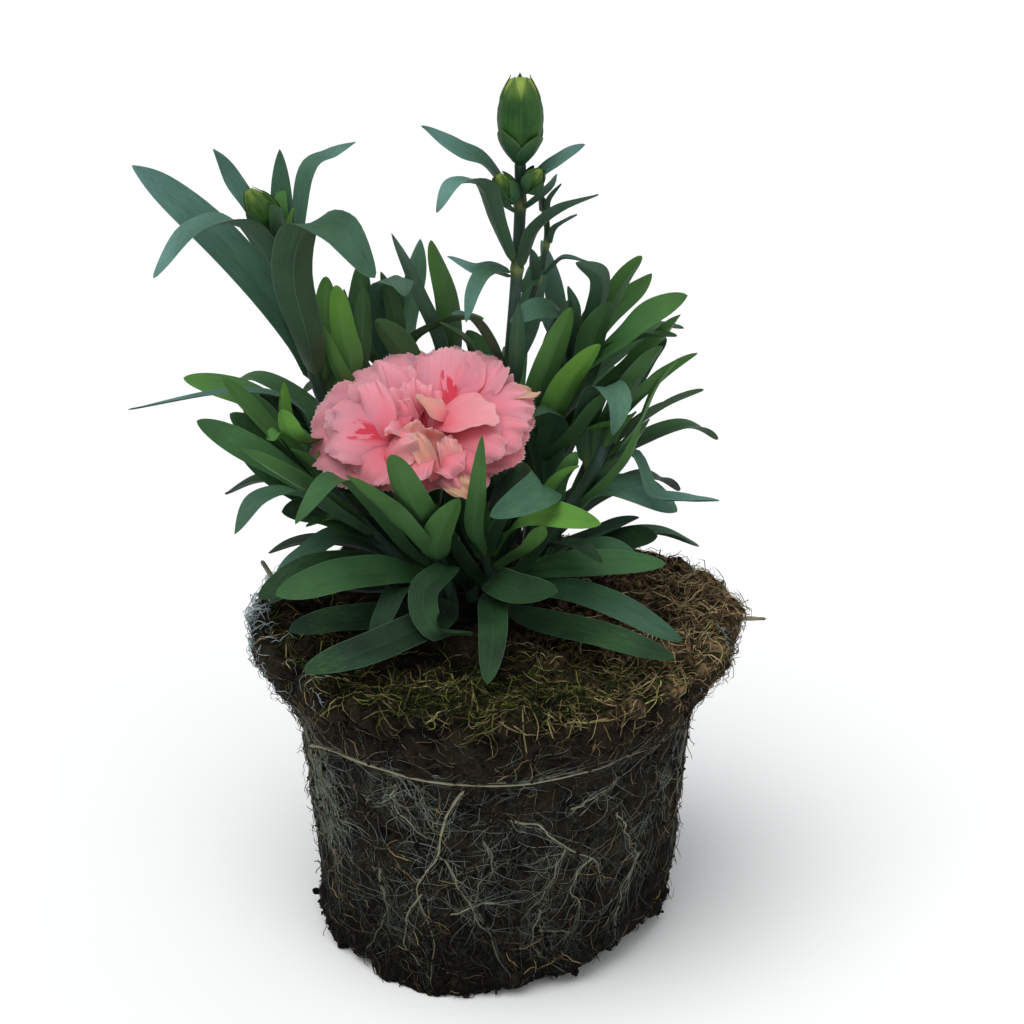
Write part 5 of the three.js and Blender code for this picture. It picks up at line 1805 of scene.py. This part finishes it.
@dataclass
class Roots:
    """The pale roots that net the ball, and the ends that stand out of it.

    slimmed is what the radii of the thick roots are multiplied by, and spread how far thin
    roots stray from the thick ones, in radians and mm.
    """

    slimmed: float = 0.70
    spread: tuple[float, float] = (0.035, 1.4)
    net: int = 1350
    hubs: int = 80
    rim: int = 230
    companions: int = 6
    laterals: int = 16
    bundle_angle: float = -152.0
    seed: int = 11
    thick: Stock = field(default_factory=lambda: Stock(6, 40))
    thin: Stock = field(default_factory=lambda: Stock(3, 26))
    side: Stock = field(default_factory=lambda: Stock(3, 10))

    def _ways(
        self, stock: Stock, copies: int, random: np.random.Generator
    ) -> tuple[np.ndarray, np.ndarray, np.ndarray]:
        """The ways of the thick roots, or of thin ones that wind along them.

        Args:
            stock: the tube that is bent along them.
            copies: how many thin ones each thick root has; 0 for the thick roots.
            random: where their wandering comes from.

        Returns:
            The angles, the distances along the outline and the radii, as ways by rings.
        """
        share = stock.rings
        angles, runs, radii = [], [], []
        for radius, points in THICK_ROOTS:
            for n in range(max(1, copies)):
                angle, height = np.array(points, float).T
                rows = np.stack([np.radians(angle), height, 0 * angle], 1)
                rows[:, :2] += random.normal(0, 1, (len(rows), 2)) * self.spread * (copies > 0)
                way = Spine(rows).at(share)
                sway = 0.010 * np.sin(share * random.uniform(20, 34) + random.uniform(0, 6))
                sway += 0.006 * np.sin(share * random.uniform(50, 70) + random.uniform(0, 6))
                angles.append(way[:, 0] + sway)
                runs.append(BALL.at_height(np.clip(way[:, 1], 2, 73)))
                scale = random.uniform(0.05, 0.11) if copies else radius * self.slimmed
                knobs = 1 + 0.14 * np.sin(share * 37 + n) + 0.1 * np.sin(share * 83 + 2 * n)
                radii.append(scale * (1.15 - 0.75 * share) * knobs)
        return np.array(angles), np.array(runs), np.array(radii)

    def _along(
        self, stock: Stock, ways: tuple[np.ndarray, np.ndarray, np.ndarray]
    ) -> bpy.types.Mesh:
        """The mesh of the roots that follow some ways."""
        angle, run, radius = ways
        lines, normals = BALL.rough(angle, run, 0.0)
        lines = self._eased(lines) + normals * (radius * 0.5 + 0.1)[..., None]
        tone = np.abs(np.cos(np.arange(len(lines)) * 2.3)) * 0.7 + 0.12
        return strands(stock, lines, normals, radius, tone, darker_below=True)

    def _laterals(
        self, angle: np.ndarray, run: np.ndarray, random: np.random.Generator
    ) -> bpy.types.Mesh:
        """Thin roots that branch off the thick ones."""
        count = len(angle) * self.laterals
        owner = np.repeat(np.arange(len(angle)), self.laterals)
        ring = random.integers(2, self.thick.along - 3, count)
        around = (angle[owner, ring + 2] - angle[owner, ring]) * 42
        down = run[owner, ring] - run[owner, ring + 2]
        side = random.choice([-1.0, 1.0], count) * random.uniform(0.4, 1.3, count)
        heading = np.arctan2(around, down) + side
        length = random.uniform(3, 15, count)
        walk = Walk(count, self.side.along, random)
        start = (angle[owner, ring], run[owner, ring])
        lines, normals = walk.lines(*start, length, 0.34, 0.1, heading)
        lines = self._eased(lines) + normals * 0.2
        radius = random.uniform(0.05, 0.13, (count, 1)) * (1.1 - 0.8 * self.side.rings)
        tone = random.uniform(0.1, 0.9, count)
        return strands(self.side, lines, normals, radius, tone, darker_below=True)

    @staticmethod
    def _eased(lines: np.ndarray) -> np.ndarray:
        """Lines with their small bumps averaged out, so that roots bridge the hollows."""
        for _ in range(2):
            lines[:, 1:-1] = (lines[:, :-2] + 2 * lines[:, 1:-1] + lines[:, 2:]) / 4
        return lines

    def _net(self, random: np.random.Generator) -> bpy.types.Mesh:
        """A net of fine roots, densest on the lower part."""
        stock = Stock(3, 13)
        walk = Walk(self.net, stock.along, random)
        low, high = 39, BALL.at_height(STEP_HEIGHT)
        angle, run = walk.start((low, high))
        hub = random.integers(0, self.hubs, self.net)
        gathered = random.random(self.net) < 0.6
        hub_angle = random.uniform(-math.pi, math.pi, self.hubs)
        hub_run = low + (high - low) * random.uniform(0, 1, self.hubs) ** 0.6
        angle[gathered] = hub_angle[hub[gathered]] + random.normal(0, 0.03, gathered.sum())
        run[gathered] = hub_run[hub[gathered]] + random.normal(0, 1.2, gathered.sum())
        bundle = random.random(self.net) < 0.15
        angle[bundle] = random.normal(math.radians(self.bundle_angle), 0.07, bundle.sum())
        run[bundle] = random.uniform(BALL.at_height(34), BALL.at_height(56), bundle.sum())
        upper = random.random(self.net) < 0.12
        run[upper] = random.uniform(high, BALL.at_height(72), upper.sum())
        length = random.uniform(5, 26, self.net)
        hub_heading = random.normal(0, 0.9, self.hubs)
        heading = hub_heading[hub] + random.normal(0, 0.7, self.net)
        heading[bundle] = random.normal(0, 0.45, bundle.sum())
        lines, normals = walk.lines(angle, run, length, 0.42, 0.1, heading)
        lines = self._eased(lines) + normals * 0.1
        radius = random.uniform(0.04, 0.11, (self.net, 1)) * (1.1 - 0.7 * stock.rings)
        tone = random.uniform(0, 1, self.net) ** np.where(bundle, 0.8, 2.2)
        return strands(stock, lines, normals, radius, tone, darker_below=True)

    def _rim(self, random: np.random.Generator) -> bpy.types.Mesh:
        """Fine curled roots along the rim's outer edge, thickest at the left and the back."""
        stock = Stock(3, 8)
        walk = Walk(self.rim, stock.along, random)
        angle = random.normal(math.radians(178), 0.24, self.rim)
        around = random.random(self.rim) < 0.25
        angle[around] = random.uniform(-0.6, 4.0, around.sum())
        run = BALL.at_height(RIM_HEIGHT) + random.normal(-1.0, 3.0, self.rim)
        length = random.uniform(2.5, 8, self.rim)
        lines, normals = walk.lines(angle, run, length, 0.6, 0.1)
        lift = random.uniform(0.2, 2.4, (self.rim, 1)) * np.sin(math.pi * stock.rings)
        lines += normals * lift[..., None] * 0.7
        lines[..., 2] += lift * 0.5
        radius = random.uniform(0.06, 0.12, (self.rim, 1))
        return strands(stock, lines, normals, radius, random.uniform(0, 1, self.rim))

    def _ends(self) -> bpy.types.Mesh:
        """Two cut root ends: one that stands out at the right and one on the left rim."""
        stock = Stock(12, 24)
        share = stock.rings
        ways = np.array([
            Spine([(48, 3, 71), (55, 4.4, 72.4), (62.5, 5, 72.2)]).at(share),
            Spine([(-48, 13, 73), (-50.4, 12.4, 78), (-53.4, 11.6, 84)]).at(share),
        ])
        radii = np.array([0.45 + 0.1 * np.sin(share * 19), 0.72 - 0.2 * share])
        return strands(stock, ways, np.array([0.0, 1.0, 0.0]), radii, np.array([0.8, 1.0]))

    def build(self) -> None:
        """Makes the thick roots, what branches off them, the net, the rim's roots and ends."""
        random = np.random.default_rng(self.seed)
        thick = StrandFinish("root_skin", (0.045, 0.050, 0.036), (0.275, 0.262, 0.178),
                             (0.08, 0.075, 0.05)).build()
        fine = StrandFinish("fine_root_skin", (0.020, 0.020, 0.0135), (0.270, 0.310, 0.260),
                            (0.06, 0.075, 0.06)).build()
        pale = StrandFinish("rim_root_skin", (0.120, 0.170, 0.190), (0.360, 0.430, 0.430),
                            (0.24, 0.28, 0.28)).build()
        ways = self._ways(self.thick, 0, random)
        finish_piece("thick_roots", self._along(self.thick, ways), [thick])
        thin = self._ways(self.thin, self.companions, random)
        finish_piece("thin_roots", self._along(self.thin, thin), [fine])
        finish_piece("side_roots", self._laterals(*ways[:2], random), [fine])
        finish_piece("root_net", self._net(random), [fine])
        finish_piece("rim_roots", self._rim(random), [pale])
        finish_piece("root_ends", self._ends(), [thick])


@dataclass
class Moss:
    """Moss stems and dry grassy bits on the soil's top and over its collar."""

    strands: int = 2200
    straws: int = 190
    seed: int = 3

    def _moss(self, random: np.random.Generator) -> bpy.types.Mesh:
        """Short curved moss stems, thickest along the front of the rim."""
        stock = Stock(3, 6)
        walk = Walk(self.strands, stock.along, random)
        angle = random.uniform(-math.pi, math.pi, self.strands)
        front = random.random(self.strands) < 0.55
        angle[front] = random.normal(math.radians(-88), 0.5, front.sum())
        tufts = random.normal(0, 0.035, self.strands) + np.round(angle * 7) / 7
        angle = np.where(random.random(self.strands) < 0.5, tufts, angle)
        edge = BALL.at_height(RIM_HEIGHT)
        run = edge + np.abs(random.normal(0, 9.0, self.strands)) + 1.6
        inner = random.random(self.strands) < 0.25
        run[inner] = edge + random.uniform(2, 34, inner.sum())
        length = random.uniform(2.5, 9.0, self.strands)
        lines, normals = walk.lines(angle, run, length, 0.38, 0.1)
        lift = random.uniform(0, 1.5, (self.strands, 1)) ** 2 * stock.rings**1.5
        lines += normals * lift[..., None]
        radius = random.uniform(0.08, 0.22, (self.strands, 1)) * (1.1 - 0.6 * stock.rings)
        green = 0.5 + 0.5 * np.cos(angle + math.radians(88))
        tone = random.uniform(0, 1, self.strands) ** 5 * (0.35 + 0.75 * green)
        tone *= patchy(lines[:, 0], 6.0) * 1.2
        return strands(stock, lines, normals, radius, np.clip(tone, 0, 1), 0.45)

    def _straws(self, random: np.random.Generator) -> bpy.types.Mesh:
        """Longer dry straws and twigs, most of them over the front of the rim."""
        stock = Stock(3, 8)
        walk = Walk(self.straws, stock.along, random)
        angle = random.normal(math.radians(-78), 0.75, self.straws)
        run = BALL.at_height(RIM_HEIGHT) + random.normal(6.0, 4.5, self.straws)
        length = random.uniform(4, 13, self.straws)
        lines, normals = walk.lines(angle, run, length, 0.16, 0.5)
        radius = random.uniform(0.08, 0.24, (self.straws, 1))
        tone = random.uniform(0, 1, self.straws) ** 1.5
        return strands(stock, lines, normals, radius, tone, 0.6)

    def build(self) -> None:
        """Makes the moss and the straws."""
        random = np.random.default_rng(self.seed)
        moss = StrandFinish("moss_stem", (0.0050, 0.0095, 0.0040), (0.175, 0.215, 0.038),
                            (0.09, 0.09, 0.02)).build()
        straw = StrandFinish("dry_straw", (0.022, 0.022, 0.010), (0.350, 0.305, 0.125),
                             (0.20, 0.15, 0.06)).build()
        finish_piece("moss", self._moss(random), [moss])
        finish_piece("straws", self._straws(random), [straw])


# ---- Studio ----------------------------------------------------------------------------
@dataclass
class Studio:
    """A pale floor, soft light from above and a camera at the front."""

    target: Row = (4.2, 0.0, 100.6)
    distance: float = 600.0
    elevation: float = 22.0
    lens: float = 94.43
    sensor: float = 36.0
    floor_size: float = 16.0
    floor_gap: float = 0.2
    surround: float = 0.50
    sky: Colour = (0.93, 0.96, 1.0)
    key: float = 2.15
    fill: float = 0.6

    def _light(self, name: str, place: Row, spread: float, strength: float) -> None:
        """Adds an even light that comes from a wide patch of the sky.

        Args:
            name: the light's name.
            place: the side that it comes from.
            spread: how wide the patch is, in degrees.
            strength: its strength, in watts on a square metre.
        """
        data = bpy.data.lights.new(name, "SUN")
        data.angle = math.radians(spread)
        data.energy = strength
        light = bpy.data.objects.new(name, data)
        light.location = place
        light.rotation_euler = (-Vector(place)).to_track_quat("-Z", "Y").to_euler()
        bpy.context.scene.collection.objects.link(light)

    def build(self) -> None:
        """Makes the camera, the floor, the lights and the pale surroundings."""
        scene = bpy.context.scene
        rise = math.radians(self.elevation)
        target = Vector(self.target) * METRES
        back = Vector((0.0, -math.cos(rise), math.sin(rise)))
        data = bpy.data.cameras.new("camera")
        data.lens = self.lens
        data.sensor_width = self.sensor
        camera = bpy.data.objects.new("camera", data)
        camera.location = target + back * self.distance * METRES
        camera.rotation_euler = (-back).to_track_quat("-Z", "Y").to_euler()
        scene.collection.objects.link(camera)
        scene.camera = camera

        bm = bmesh.new()
        bmesh.ops.create_grid(bm, x_segments=1, y_segments=1, size=self.floor_size / 2)
        floor = bpy.data.objects.new("floor", mesh_of(bm))
        floor.location = (0.0, 0.0, -self.floor_gap * METRES)
        scene.collection.objects.link(floor)
        paint = Paint("pale_floor")
        cloud = paint.noise(3.0, 2.0)
        colour = paint.mix(cloud * 0.2, (0.90, 0.90, 0.89), (0.84, 0.84, 0.83))
        floor.data.materials.append(paint.done(colour, 0.9, cloud, 0.0))

        world = bpy.data.worlds.new("surroundings")
        world.use_nodes = True
        inputs = world.node_tree.nodes["Background"].inputs
        inputs["Color"].default_value = (*self.sky, 1.0)
        inputs["Strength"].default_value = self.surround
        scene.world = world
        scene.view_settings.view_transform = "Standard"
        self._light("overhead", (-0.25, -0.35, 1.0), 50, self.key)
        self._light("front_fill", (0.3, -1.0, 0.5), 70, self.fill)


def main() -> None:
    """Builds the studio and every piece of the plant."""
    logging.basicConfig(level=logging.INFO, format="%(message)s")
    Studio().build()
    Peat().build()
    Roots().build()
    Moss().build()
    Stalks().build()
    Foliage().build()
    Buds().build()
    Flower().build()


if __name__ == "__main__":
    main()
